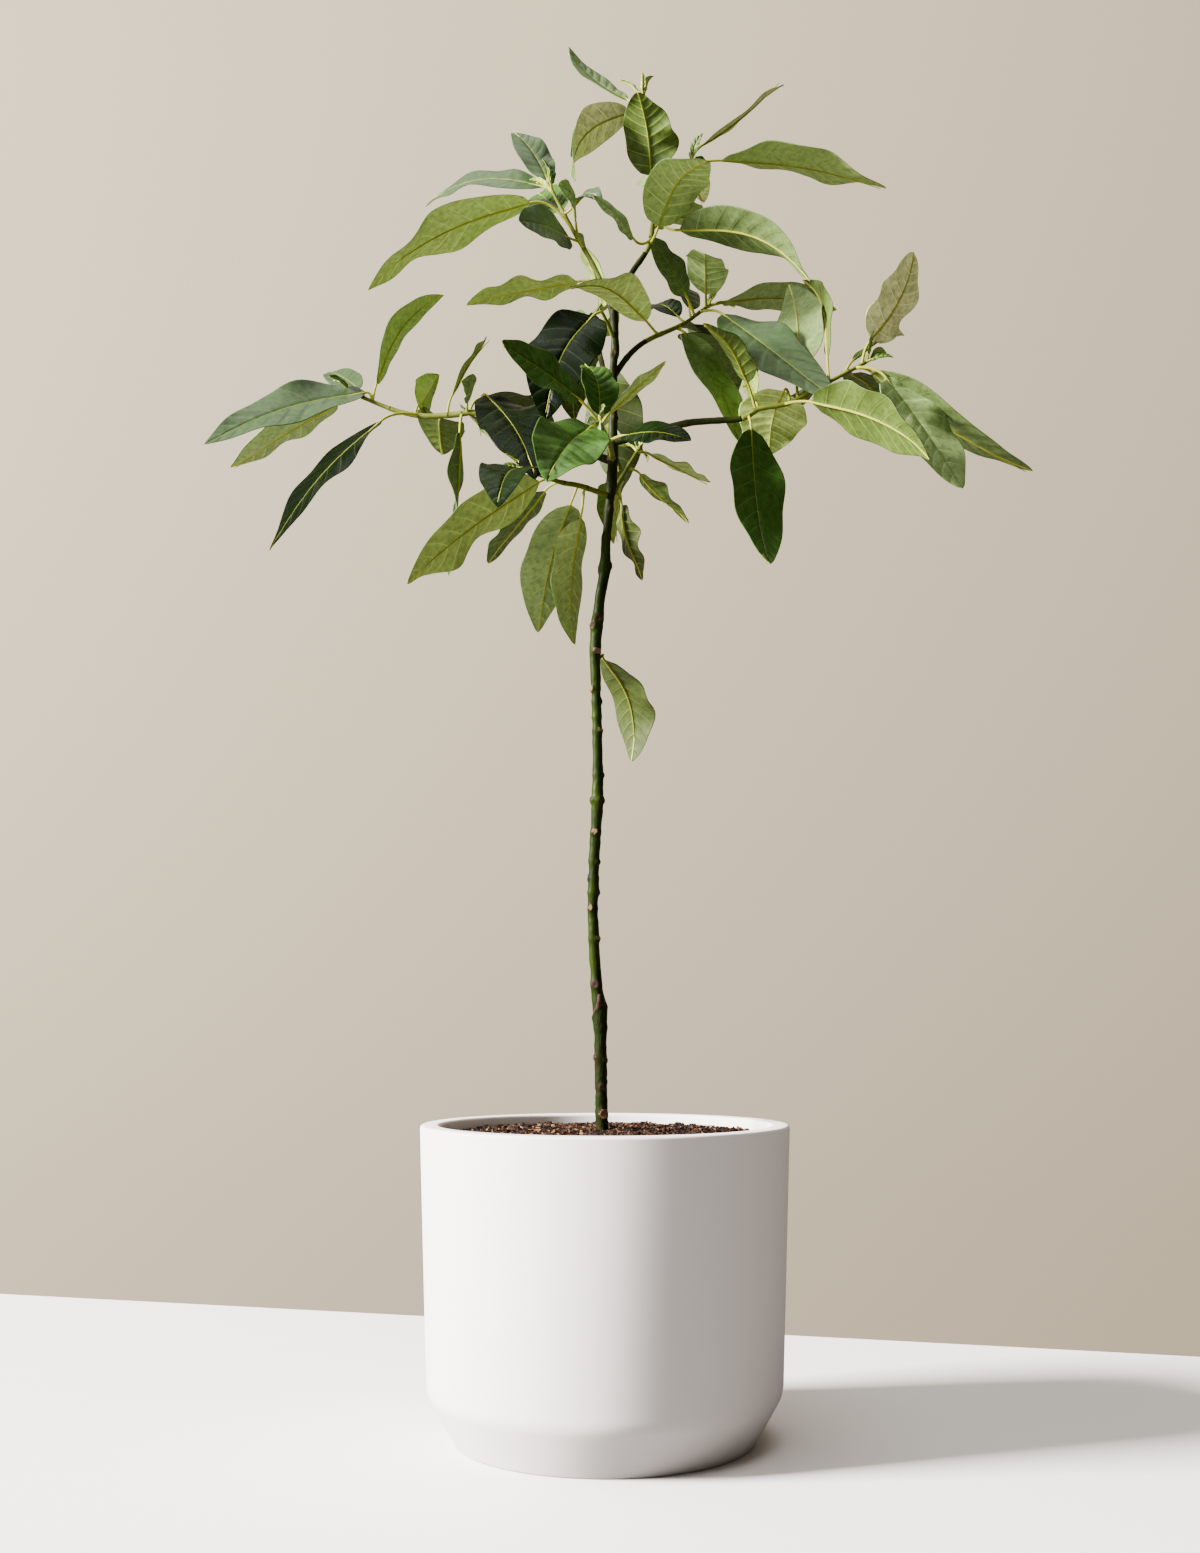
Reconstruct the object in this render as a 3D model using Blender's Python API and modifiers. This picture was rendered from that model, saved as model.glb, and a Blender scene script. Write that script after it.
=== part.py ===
"""A young avocado tree in a plain white pot, as separate named solids.

Metres, +Z up. The origin is the centre of the pot's flat underside and -Y is the front.
The plant is measured from the front: a place is given in millimetres to the right of the pot's
axis, up from the floor, and back from the axis, as it is seen from a spot in front of the pot.
"""
import math
import random

import bmesh
import bpy
from mathutils import Quaternion, Vector

MM = 0.001
GAP = 0.3 * MM

# The spot in front of the pot from which the places of shoots and leaves are seen.
EYE_DISTANCE = 1.364
EYE_HEIGHT = 0.346

# Pot
POT_HEIGHT = 256.5 * MM
RIM_RADIUS = 150 * MM
WAIST_RADIUS = 145 * MM
WAIST_HEIGHT = 41 * MM
FOOT_RADIUS = 122.5 * MM
LIP_ROUND = 2.5 * MM
WALL = 15.5 * MM
FLOOR_THICKNESS = 20 * MM
INNER_FLOOR_RADIUS = 108 * MM
INNER_WAIST_HEIGHT = 45 * MM
INNER_WAIST_RADIUS = 130 * MM
POT_STEPS = 64
LIP_STEPS = 3

# Potting mix, a low mound that is flat where the trunk stands
SOIL_LEVEL = 250.5 * MM
SOIL_EDGE = 247 * MM
SOIL_FLAT_RADIUS = 14 * MM
SOIL_STEPS = 48

# Trunk: height, lean to the right and radius, in mm, from the cut at the soil to the fork
TRUNK = (
    (250.5, -2.2, 6.0), (258, -2.4, 5.0), (305, -3.4, 4.8), (340, -4.0, 5.7), (352, -4.3, 6.2),
    (366, -6.6, 4.9), (400, -8.8, 4.4), (432, -9.8, 4.3), (478, -8.4, 4.4), (520, -6.1, 4.7),
    (560, -6.0, 4.1), (612, -7.3, 4.1), (641, -8.1, 4.3), (667, -6.1, 4.9), (684, -4.1, 4.1),
    (706, -0.6, 4.7), (730, 0.8, 3.9), (757, 3.4, 3.7), (798, 6.3, 4.2), (832, 6.6, 3.6),
    (872, 6.9, 3.2), (893, 8.2, 3.5), (921, 7.3, 3.3),
)
TRUNK_ROUND = 3
LIMB_ROUND = 1

# Leaves
STALK_RADIUS = 1.1 * MM
STALK_SHARE = 0.17
STALK_SHORTEST = 9 * MM
STALK_LONGEST = 30 * MM
FIRST_ROOT = 0.05
LAST_ROOT = 0.97
STALK_FLARE = 1.25
STALK_NARROWING = 0.35
STALK_BEND = 0.45
BLADE_STATIONS = (0.1, 0.26, 0.44, 0.62, 0.8, 0.93)
THICKNESS_SHARE = 0.014
THINNING = 0.6
FOLD = 0.16
WAVE = 0.06
WAVES_ALONG = 2.6
SWAY = 0.03
TOP_BOW = 0.5

# Leaves that a spiral rule adds at the back
GOLDEN_ANGLE = math.radians(137.5)
ROOT_STEP = 0.37
SPREAD = (0.1, 0.9)
UPWARD_SPREAD = 0.7
LENGTH_SHARE = (0.6, 0.9)
SPIRAL_TURN = (-55, -15)
SPIRAL_WIDTH = 0.36
SPIRAL_ARCH = 0.06
CLEARANCE = 10 * MM
SAMPLES = 10
COVER = 6 * MM
COVERED_SHARE = 0.95
TRIES = 150


def seen(right, up, back):
    """The place, in metres, of a spot that is seen at right and up, in mm, from the front."""
    reach = (EYE_DISTANCE + back * MM) / EYE_DISTANCE
    return Vector((right * MM * reach, back * MM, EYE_HEIGHT + (up * MM - EYE_HEIGHT) * reach))


def leaf(at, right, up, back, width, turn, arch=8, twist=0, lift=0.3, stalk=None):
    """One leaf: its place on the twig from 0 to 1, where its tip is seen, and how it is held.

    turn is how far its upper side faces the front, in degrees: 90 is square on, 0 is edge on and
    -90 shows the underside. arch is the midrib's rise in mm, twist the turn from base to tip.
    """
    return dict(at=at, tip=(right, up, back), width=width, turn=turn, arch=arch, twist=twist,
                lift=lift, stalk=stalk)


def shoot(mass, path, thick, leaves, bough=None, ends=0, sides=(), spiral=0, reach=150):
    """One shoot: a path of seen places, and the leaves on it past the point where its bough ends."""
    return dict(mass=mass, bough=bough, ends=ends, path=path, thick=thick, leaves=leaves,
                sides=sides, spiral=spiral, reach=reach)


SHOOTS = (
    shoot("leaves_left", ((6, 797, 0), (-50, 817, 18), (-99, 836, 32), (-124, 835, 40),
                          (-148, 834, 47), (-169, 838, 52), (-190, 846, 56), (-206, 853, 58)),
          (3.2, 1.4), (
              leaf(0.86, -327, 811, 22, 46, 36, arch=6, lift=1.6, stalk=9),
              leaf(1.0, -305, 790, 118, 44, -32, arch=1, stalk=20, lift=0.1),
              leaf(0.46, -274, 725, -20, 38, 27, lift=0.5, stalk=36),
              leaf(0.86, -134, 934, 104, 38, -30, arch=9, lift=1.4, stalk=16),
              leaf(0.93, -226, 870, 135, 28, 40, arch=4),
              leaf(0.5, -138, 867, 104, 28, -50, arch=-1),
              leaf(0.3, -133, 801, 128, 44, -70),
              leaf(0.24, -94, 897, 108, 26, -8, arch=3, lift=0.8),
              leaf(0.12, -127, 704, -6, 44, -25, arch=0, twist=60, stalk=20),
              leaf(0.0, -57, 787, -74, 50, 62, arch=3, lift=0.9, stalk=22),
              leaf(0.07, -116, 862, -6, 18, 40),
              leaf(0.06, -40, 825, 116, 38, -37, lift=1.0, stalk=20),
          ), "bough_left", 2, spiral=3),
    shoot("leaves_low_left", ((3, 769, 0), (-20, 777, -18), (-36, 780, -34), (-53, 786, -48),
                              (-66, 790, -58)), (2.4, 1.4), (
        leaf(0.72, -163, 698, -74, 56, -38, arch=6, stalk=9),
        leaf(0.6, -96, 715, 16, 37, -28, arch=-1),
        leaf(1.0, -88, 763, -156, 42, 50),
        leaf(0.34, -54, 657, 66, 49, -60, arch=9, stalk=20),
        leaf(0.26, -27, 647, 18, 42, -42, stalk=24),
    )),
    shoot("leaves_front", ((6.5, 798, 0), (4, 810, -38), (-1, 822, -80), (-4, 828, -112)),
          (2.5, 1.4), (
              leaf(0.9, -86, 893, -150, 38, 40, arch=2, stalk=26),
              leaf(0.86, -17, 878, -78, 30, 55),
              leaf(0.95, 50, 878, -132, 22, -25, arch=2),
              leaf(1.0, -46, 785, -212, 53, 65, arch=3, lift=0.2),
              leaf(0.42, 70, 814, -104, 33, 28, arch=4),
          )),
    shoot("leaves_low_right", ((4, 766, 0), (14, 784, 20), (22, 798, 40), (27, 806, 58)),
          (2.2, 1.3), (
              leaf(0.95, 85, 778, 104, 34, -16, arch=1),
              leaf(0.55, 70, 749, 42, 36, -18, arch=-2),
              leaf(0.1, 33, 701, 6, 36, -24, arch=-4),
              leaf(0.7, 0, 742, 120, 34, -40),
          ), spiral=2),
    shoot("leaf_on_trunk", ((-8, 632, 0), (-5, 636, 5), (-2, 639, 9)), (1.6, 1.3), (
        leaf(1.0, 24, 552, 62, 44, -40, arch=14, lift=0.2, stalk=12),
    )),
    shoot("leaf_at_fork", ((7.5, 896, 0), (3, 908, -8), (-3, 920, -16)), (1.8, 1.3), (
        leaf(1.0, -49, 834, -62, 57, 66, arch=10, lift=0.5, stalk=12),
    )),
    shoot("leaves_back", ((6.5, 842, 0), (0, 866, 50), (-4, 884, 100), (-8, 900, 146),
                          (-14, 908, 186)), (3.0, 1.4), (
        leaf(0.1, 11, 780, 136, 58, -62, stalk=16),
        leaf(0.35, -27, 831, 180, 42, -43),
        leaf(0.5, 8, 902, 226, 44, -50),
    ), "bough_back", 2, spiral=12),
    shoot("leaves_right_high", ((6.8, 866, 0), (19, 883, 6), (33, 895, 12), (55, 905, 32),
                                (67, 911, 44), (84, 924, 56)), (2.6, 1.4), (
        leaf(0.8, 37, 980, 18, 30, 42, stalk=18, arch=0),
        leaf(1.0, 82, 968, -24, 37, -70),
        leaf(0.74, 58, 940, 134, 34, 25),
        leaf(0.62, 32, 920, 112, 26, 20),
        leaf(0.15, -29, 938, -112, 40, -34, arch=13, stalk=22),
        leaf(0.95, 188, 921, 124, 38, -22, twist=60, stalk=22, arch=7),
        leaf(0.9, 189, 845, -75, 52, 45, arch=4),
        leaf(0.5, 111, 814, 6, 40, 38, arch=3, stalk=8),
    ), "bough_right_high", 2, spiral=4),
    shoot("leaves_right_low", ((6, 812, 0), (61, 827, -22), (85, 830, -30), (112, 832, -36),
                               (126, 840, -40), (151, 845, -46), (183, 862, -50),
                               (213, 878, -50)), (3.0, 1.4), (
        leaf(0.07, 80, 909, -92, 34, -28, lift=0.8, stalk=22),
        leaf(0.42, 151, 940, 60, 50, -63),
        leaf(0.7, 166, 945, 52, 32, -20, lift=0.8, stalk=20),
        leaf(1.0, 253, 968, -62, 42, -46, stalk=20, arch=-5),
        leaf(0.75, 348, 787, -38, 48, -28, arch=-5, lift=0.6, stalk=30),
        leaf(0.94, 292, 775, -78, 54, 45, lift=0.5, stalk=26, arch=1),
        leaf(0.3, 268, 801, -142, 50, -41, stalk=28),
        leaf(0.35, 134, 803, -14, 56, -75, arch=8, lift=1.6, stalk=16),
        leaf(0.0, 133, 711, -84, 48, 50, stalk=14, arch=-9),
        leaf(0.84, 242, 903, 40, 24, -10, arch=3),
    ), "bough_right_low", 3, spiral=4),
    shoot("leaves_upper_left", ((7, 914, 0), (0, 936, 8), (-11, 960, 16), (-24, 982, 22),
                                (-37, 1006, 26), (-43, 1018, 26)), (2.4, 1.3), (
        leaf(0.58, -196, 940, -6, 54, -27, lift=0.9, stalk=44, arch=10),
        leaf(0.9, -148, 1008, 96, 34, 25, lift=0.9, arch=13),
        leaf(1.0, -76, 1069, 62, 29, 55, arch=2),
        leaf(0.5, -70, 994, -36, 42, 34, lift=0.0, arch=3),
        leaf(0.74, -56, 1018, 104, 36, 60, arch=0),
        leaf(0.42, -39, 1022, -34, 20, 20, stalk=22),
        leaf(0.8, -2, 1009, -10, 16, 20, stalk=10),
        leaf(0.06, -113, 927, 58, 42, -24, arch=1, lift=0.1),
    ), "limb_upper_left", 1, spiral=3),
    shoot("leaves_top", ((7, 917, 0), (14, 931, 0), (22, 951, -4), (33, 967, -6), (38, 981, -6),
                         (40, 1020, 0), (37, 1071, 6), (31, 1095, 8)), (2.8, 1.3), (
        leaf(0.04, -10, 1013, -60, 22, 25, arch=3, lift=-0.44, stalk=23),
        leaf(0.94, -29, 1027, -40, 33, -60, arch=15, twist=40, lift=0.4),
        leaf(1.0, -31, 1132, 40, 27, 22, arch=-4, lift=-0.4),
        leaf(0.36, 27, 1099, -48, 46, -63),
        leaf(0.0, 83, 1041, -74, 50, -57, arch=13, stalk=16),
        leaf(0.2, 168, 945, -60, 46, -31, arch=17, lift=-0.1, stalk=28),
    ), "limb_leader", 3, sides=(
        (0.3, ((50, 1014, 18), (61, 1030, 34), (70, 1041, 42)), (
            leaf(1.0, 143, 1108, 96, 26, -7, arch=-3),
            leaf(0.95, 229, 1019, 36, 54, -21, arch=8),
            leaf(0.6, 80, 1006, 96, 26, -30),
        )),
    ), spiral=3),
)


def smooth(points, steps):
    """Even steps along a smooth curve through the points."""
    ends = [points[0] * 2 - points[1]] + list(points) + [points[-1] * 2 - points[-2]]
    curve = []
    for before, start, end, after in zip(ends, ends[1:], ends[2:], ends[3:]):
        for step in range(steps):
            t = step / steps
            curve.append(0.5 * (2 * start + (end - before) * t
                                + (2 * before - 5 * start + 4 * end - after) * t ** 2
                                + (3 * start - before - 3 * end + after) * t ** 3))
    return curve + [points[-1].copy()]


def spot(path, share):
    """The point at a share of a path's length."""
    lengths = [(b - a).length for a, b in zip(path, path[1:])]
    left = share * sum(lengths)
    for a, b, length in zip(path, path[1:], lengths):
        if left <= length or b is path[-1]:
            return a.lerp(b, min(left / length, 1.0))
        left -= length


def material(name, colour, roughness):
    """A plain surface with its colour."""
    surface = bpy.data.materials.new(name)
    surface.use_nodes = True
    shader = surface.node_tree.nodes["Principled BSDF"]
    shader.inputs["Base Color"].default_value = (*colour, 1.0)
    shader.inputs["Roughness"].default_value = roughness
    return surface


def finish_mesh(mesh):
    """Weld a mesh's doubles and turn its faces outwards."""
    work = bmesh.new()
    work.from_mesh(mesh)
    bmesh.ops.remove_doubles(work, verts=work.verts, dist=1e-6)
    bmesh.ops.recalc_face_normals(work, faces=work.faces)
    work.to_mesh(mesh)
    work.free()


def add(name, mesh, collection, surface=None):
    """Put a mesh in a collection as an object."""
    piece = bpy.data.objects.new(name, mesh)
    collection.objects.link(piece)
    if surface:
        mesh.materials.clear()
        mesh.materials.append(surface)
    return piece


def tube(name, path, radii, roundness, collection, surface=None):
    """A tapering rod along a path, with flat ends."""
    curve = bpy.data.curves.new(name, "CURVE")
    curve.dimensions = "3D"
    curve.bevel_depth = 1.0
    curve.bevel_resolution = roundness
    curve.use_fill_caps = True
    spline = curve.splines.new("POLY")
    spline.points.add(len(path) - 1)
    for point, place, radius in zip(spline.points, path, radii):
        point.co = (*place, 1.0)
        point.radius = radius
    rod = bpy.data.objects.new(name, curve)
    collection.objects.link(rod)
    graph = bpy.context.evaluated_depsgraph_get()
    mesh = bpy.data.meshes.new_from_object(rod.evaluated_get(graph))
    bpy.data.objects.remove(rod)
    bpy.data.curves.remove(curve)
    finish_mesh(mesh)
    mesh.name = name
    return add(name, mesh, collection, surface)


def taper(count, start, end):
    """Radii in metres that narrow evenly from start to end, in mm."""
    return [(start + (end - start) * step / (count - 1)) * MM for step in range(count)]


def fattened(path, radii, roundness, cutters):
    """A limb's copy that is one gap thicker and longer, to cut what meets the limb."""
    longer = list(path)
    longer[0] = path[0] + (path[0] - path[1]).normalized() * GAP
    longer[-1] = path[-1] + (path[-1] - path[-2]).normalized() * GAP
    cutter = tube("cutter", longer, [radius + GAP for radius in radii], roundness, cutters)
    cutter.hide_render = True
    cutter.display_type = "WIRE"
    return cutter


def settle(piece):
    """Apply a piece's modifiers."""
    graph = bpy.context.evaluated_depsgraph_get()
    mesh = bpy.data.meshes.new_from_object(piece.evaluated_get(graph))
    piece.modifiers.clear()
    piece.data = mesh


def cut(piece, cutters):
    """Cut a piece where others already stand."""
    for cutter in cutters:
        boolean = piece.modifiers.new("Cut", "BOOLEAN")
        boolean.operation = "DIFFERENCE"
        boolean.object = cutter
    settle(piece)
    keep_largest(piece.data)


def volume_of(faces):
    """The volume that a closed set of faces holds."""
    total = 0.0
    for face in faces:
        first = face.verts[0].co
        for second, third in zip(face.verts[1:], face.verts[2:]):
            total += first.dot(second.co.cross(third.co)) / 6
    return total


def keep_largest(mesh):
    """Drop scraps and fill sealed hollows: only the largest closed shell stays, in triangles."""
    work = bmesh.new()
    work.from_mesh(mesh)
    unseen = set(work.faces)
    shells = []
    while unseen:
        shell = [unseen.pop()]
        for face in shell:
            for edge in face.edges:
                for other in edge.link_faces:
                    if other in unseen:
                        unseen.remove(other)
                        shell.append(other)
        shells.append(shell)
    shells.sort(key=volume_of, reverse=True)
    scraps = [face for shell in shells[1:] for face in shell]
    bmesh.ops.delete(work, geom=scraps, context="FACES")
    bmesh.ops.triangulate(work, faces=work.faces)
    work.to_mesh(mesh)
    work.free()


def turned(name, profile, steps, collection, surface):
    """A round piece: a profile of radius and height, turned about the axis."""
    mesh = bpy.data.meshes.new(name)
    edges = [(index, index + 1) for index in range(len(profile) - 1)]
    mesh.from_pydata([(radius, 0.0, height) for radius, height in profile], edges, [])
    piece = add(name, mesh, collection, surface)
    screw = piece.modifiers.new("Turn", "SCREW")
    screw.steps = steps
    screw.render_steps = steps
    screw.use_merge_vertices = True
    screw.merge_threshold = 0.00001
    screw.use_smooth_shade = True
    return piece


def quarter(centre_radius, centre_height, radius, first, last):
    """Points of a round corner, between two angles in degrees."""
    points = []
    for step in range(LIP_STEPS + 1):
        angle = math.radians(first + (last - first) * step / LIP_STEPS)
        points.append((centre_radius + radius * math.cos(angle),
                       centre_height + radius * math.sin(angle)))
    return points


def inner_radius(height):
    """The inside radius of the pot's wall at a height above the inner waist."""
    share = (height - INNER_WAIST_HEIGHT) / (POT_HEIGHT - LIP_ROUND - INNER_WAIST_HEIGHT)
    return INNER_WAIST_RADIUS + share * (RIM_RADIUS - WALL - INNER_WAIST_RADIUS)


def make_pot(collection):
    """The white pot, with a rounded lip, a slight taper and a chamfered foot."""
    lip_height = POT_HEIGHT - LIP_ROUND
    profile = [(0.0, FLOOR_THICKNESS), (INNER_FLOOR_RADIUS, FLOOR_THICKNESS),
               (INNER_WAIST_RADIUS, INNER_WAIST_HEIGHT)]
    profile += quarter(RIM_RADIUS - WALL + LIP_ROUND, lip_height, LIP_ROUND, 180, 90)
    profile += quarter(RIM_RADIUS - LIP_ROUND, lip_height, LIP_ROUND, 90, 0)
    profile += [(WAIST_RADIUS, WAIST_HEIGHT), (FOOT_RADIUS, 0.0), (0.0, 0.0)]
    turned("pot", profile, POT_STEPS, collection, material("white ceramic", (0.78, 0.75, 0.72), 0.5))


def make_potting_mix(collection):
    """The potting mix, which fills the pot to a low mound."""
    profile = [(0.0, SOIL_LEVEL - GAP), (SOIL_FLAT_RADIUS, SOIL_LEVEL - GAP),
               (0.6 * RIM_RADIUS, (SOIL_LEVEL + SOIL_EDGE) / 2),
               (inner_radius(SOIL_EDGE) - GAP, SOIL_EDGE),
               (INNER_WAIST_RADIUS - GAP, INNER_WAIST_HEIGHT),
               (INNER_FLOOR_RADIUS - GAP, FLOOR_THICKNESS + GAP), (0.0, FLOOR_THICKNESS + GAP)]
    turned("potting_mix", profile, SOIL_STEPS, collection,
           material("potting mix", (0.05, 0.03, 0.02), 0.9))


def trunk_line():
    """The trunk's centre line and radii."""
    path = [Vector((lean * MM, 0.0, height * MM)) for height, lean, thick in TRUNK]
    return path, [thick * MM for height, lean, thick in TRUNK]


def midrib(plan, root):
    """The leaf's stalk and midrib: the blade's base and tip, and two handles between them."""
    tip = seen(*plan["tip"])
    chord = tip - root
    if plan["stalk"]:
        stalk = plan["stalk"] * MM
    else:
        stalk = min(max(STALK_SHARE * chord.length, STALK_SHORTEST), STALK_LONGEST)
    base = root + (chord.normalized() + Vector((0, 0, plan["lift"]))).normalized() * stalk
    return base, tip


def upper_side(base, tip, turn):
    """The direction in which the leaf's upper side faces."""
    along = (tip - base).normalized()
    towards_eye = Vector((0.0, -EYE_DISTANCE, EYE_HEIGHT)) - (base + tip) / 2
    towards_eye = (towards_eye - along * towards_eye.dot(along)).normalized()
    upwards = along.cross(towards_eye)
    if upwards.z < 0:
        upwards.negate()
    angle = math.radians(turn)
    return (upwards * math.cos(angle) + towards_eye * math.sin(angle)).normalized()


def half_width(share, width):
    """Half the blade's width at a share of its length: widest before the middle, tip drawn out."""
    return 0.5 * width * math.sin(math.pi * share ** 0.86) ** 0.85 * (1 - 0.3 * share ** 6)


def blade_point(plan, base, tip, share):
    """Centre, direction, side and upper side of the blade at a share of its length."""
    chord = tip - base
    top = upper_side(base, tip, plan["turn"])
    straight = chord.normalized()
    up = Vector((0, 0, 1)) - straight * straight.z
    bow = (up + TOP_BOW * top).normalized() * plan["arch"] * MM
    sway = straight.cross(top) * plan["sway"] * chord.length
    centre = base + chord * share + (bow + sway) * math.sin(math.pi * share)
    slope = chord + (bow + sway) * math.pi * math.cos(math.pi * share)
    along = slope.normalized()
    top = straight.rotation_difference(along) @ top
    top.rotate(Quaternion(along, -math.radians(plan["twist"]) * share ** 1.5))
    return centre, along, top.cross(along), top


def leaf_rings(plan, root):
    """Four-cornered rings from the stalk's sunk root to the blade's last station, and the tip."""
    base, tip = midrib(plan, root)
    rings = []
    centre, along, side, top = blade_point(plan, base, tip, 0.0)
    bend = base - along * (base - root).length * STALK_BEND
    for share in (0.0, 0.5, 1.0):
        place = root.lerp(bend, share).lerp(bend.lerp(base, share), share)
        radius = STALK_RADIUS * (STALK_FLARE - STALK_NARROWING * share)
        rings.append((place - side * radius, place + top * radius, place + side * radius,
                      place - top * radius))
    length = (tip - base).length
    thickness = THICKNESS_SHARE * length
    for share in BLADE_STATIONS:
        centre, along, side, top = blade_point(plan, base, tip, share)
        half = half_width(share, plan["width"] * MM)
        fold = FOLD * half
        waves = [WAVE * half * math.sin(plan["phase"] + hand + WAVES_ALONG * math.tau * share)
                 for hand in (0.0, 2.0)]
        middle = 0.5 * thickness * (1.15 - THINNING * share)
        rings.append((centre - side * half + top * (fold + waves[0]), centre + top * middle,
                      centre + side * half + top * (fold + waves[1]), centre - top * middle))
    return rings, tip


def loft(name, rings, tip, collection):
    """A closed leaf of triangles from its rings, ending in a point."""
    work = bmesh.new()
    rows = [[work.verts.new(corner) for corner in ring] for ring in rings]
    for row, following in zip(rows, rows[1:]):
        for index in range(4):
            after = (index + 1) % 4
            work.faces.new((row[index], row[after], following[after], following[index]))
    work.faces.new(rows[0][::-1])
    point = work.verts.new(tip)
    for index in range(4):
        work.faces.new((rows[-1][index], rows[-1][(index + 1) % 4], point))
    bmesh.ops.triangulate(work, faces=work.faces)
    bmesh.ops.recalc_face_normals(work, faces=work.faces)
    mesh = bpy.data.meshes.new(name)
    work.to_mesh(mesh)
    work.free()
    return add(name, mesh, collection)


def outline(plan, root):
    """Points over the leaf, to tell whether it is clear of others."""
    base, tip = midrib(plan, root)
    points = [root.lerp(base, 0.6)]
    for step in range(SAMPLES):
        share = (step + 0.5) / SAMPLES
        centre, along, side, top = blade_point(plan, base, tip, share)
        half = half_width(share, plan["width"] * MM)
        points += [centre, centre + side * half, centre - side * half]
    return points


def is_clear(points, others):
    """Whether every point keeps its distance from all the others."""
    return all((point - other).length > CLEARANCE for point in points for other in others)


def grow_leaves(stem, leaves, draw):
    """Give each planned leaf its root on the stem and its own seeded wave and sway."""
    grown = []
    for plan in leaves:
        root = spot(stem, FIRST_ROOT + (LAST_ROOT - FIRST_ROOT) * plan["at"])
        plan = dict(plan, phase=draw.uniform(0, math.tau), sway=draw.uniform(-SWAY, SWAY))
        grown.append((plan, root))
    return grown


def in_front_view(place):
    """Where a place is seen from the front, in metres on the plane of the pot's axis."""
    scale = EYE_DISTANCE / (EYE_DISTANCE + place.y)
    return Vector((place.x * scale, EYE_HEIGHT + (place.z - EYE_HEIGHT) * scale))


def is_covered(points, views):
    """Whether most of a leaf stays behind what is already seen from the front."""
    hidden = sum(any((in_front_view(point) - view).length < COVER for view in views)
                 for point in points)
    return hidden >= COVERED_SHARE * len(points)


def spiral_leaves(stem, count, reach, taken, views, draw):
    """Leaves at the back of a stem, turned by the golden angle, where they touch nothing and
    leave the gaps that are seen from the front open."""
    grown = []
    for number in range(count * TRIES):
        share = 0.1 + 0.9 * ((number * ROOT_STEP) % 1.0)
        root = spot(stem, share)
        away = (root - Vector((0.0, -EYE_DISTANCE, EYE_HEIGHT))).normalized()
        length = draw.uniform(*LENGTH_SHARE) * reach
        spread = draw.uniform(*SPREAD)
        round_angle = number * GOLDEN_ANGLE
        beside = Vector((math.cos(round_angle), 0.0, UPWARD_SPREAD * math.sin(round_angle)))
        place = root + (away + beside * spread).normalized() * length * MM
        view = in_front_view(place)
        tip = (view.x / MM, view.y / MM, place.y / MM)
        plan = leaf(share, *tip, SPIRAL_WIDTH * length, draw.uniform(*SPIRAL_TURN),
                    arch=SPIRAL_ARCH * length)
        plan = dict(plan, phase=draw.uniform(0, math.tau), sway=draw.uniform(-SWAY, SWAY))
        points = outline(plan, root)
        if len(grown) < count and is_clear(points[1:], taken) and is_covered(points, views):
            grown.append((plan, root))
            taken += points
    return grown


def build_mass(plan, stem, radii, grown, sides, cutters, collection, surface):
    """Fuse a shoot's stem, its side twigs and its leaves into one solid."""
    name = plan["mass"]
    body = tube(name, stem, radii, LIMB_ROUND, collection, surface)
    if cutters:
        cut(body, cutters)
    pieces = bpy.data.collections.new(name + " pieces")
    bpy.context.scene.collection.children.link(pieces)
    for path, side_radii in sides:
        tube("twig", path, side_radii, LIMB_ROUND, pieces)
    for leaf_plan, root in grown:
        rings, tip = leaf_rings(leaf_plan, root)
        loft("leaf", rings, tip, pieces)
    union = body.modifiers.new("Join", "BOOLEAN")
    union.operation = "UNION"
    union.operand_type = "COLLECTION"
    union.collection = pieces
    union.solver = "MANIFOLD"
    settle(body)
    for piece in list(pieces.objects):
        bpy.data.objects.remove(piece)
    bpy.data.collections.remove(pieces)
    keep_largest(body.data)
    body.data.materials.clear()
    body.data.materials.append(surface)


def lay_out(plan, number):
    """A shoot's curve, the part of it that is its bough, and its seeded leaves."""
    draw = random.Random(number + 1)
    points = [seen(*place) for place in plan["path"]]
    curve = smooth(points, 3)
    radii = taper(len(curve), *plan["thick"])
    split = plan["ends"] * 3
    stem = curve[split:]
    if plan["bough"]:
        heading = (curve[split] - curve[split - 1]).normalized()
        stem[0] = curve[split] + heading * GAP
        stem.insert(1, curve[split] + heading * 6 * GAP)
        radii_stem = [radii[split]] + radii[split:]
    else:
        radii_stem = radii[split:]
    grown = grow_leaves(stem, plan["leaves"], draw)
    sides = []
    for at, path, leaves in plan["sides"]:
        twig = smooth([spot(stem, at)] + [seen(*place) for place in path], 2)
        sides.append((twig, taper(len(twig), 1.7, 1.2)))
        grown += grow_leaves(twig, leaves, draw)
    return dict(plan=plan, curve=curve, radii=radii, split=split, stem=stem,
                radii_stem=radii_stem, sides=sides, grown=grown, draw=draw)


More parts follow.
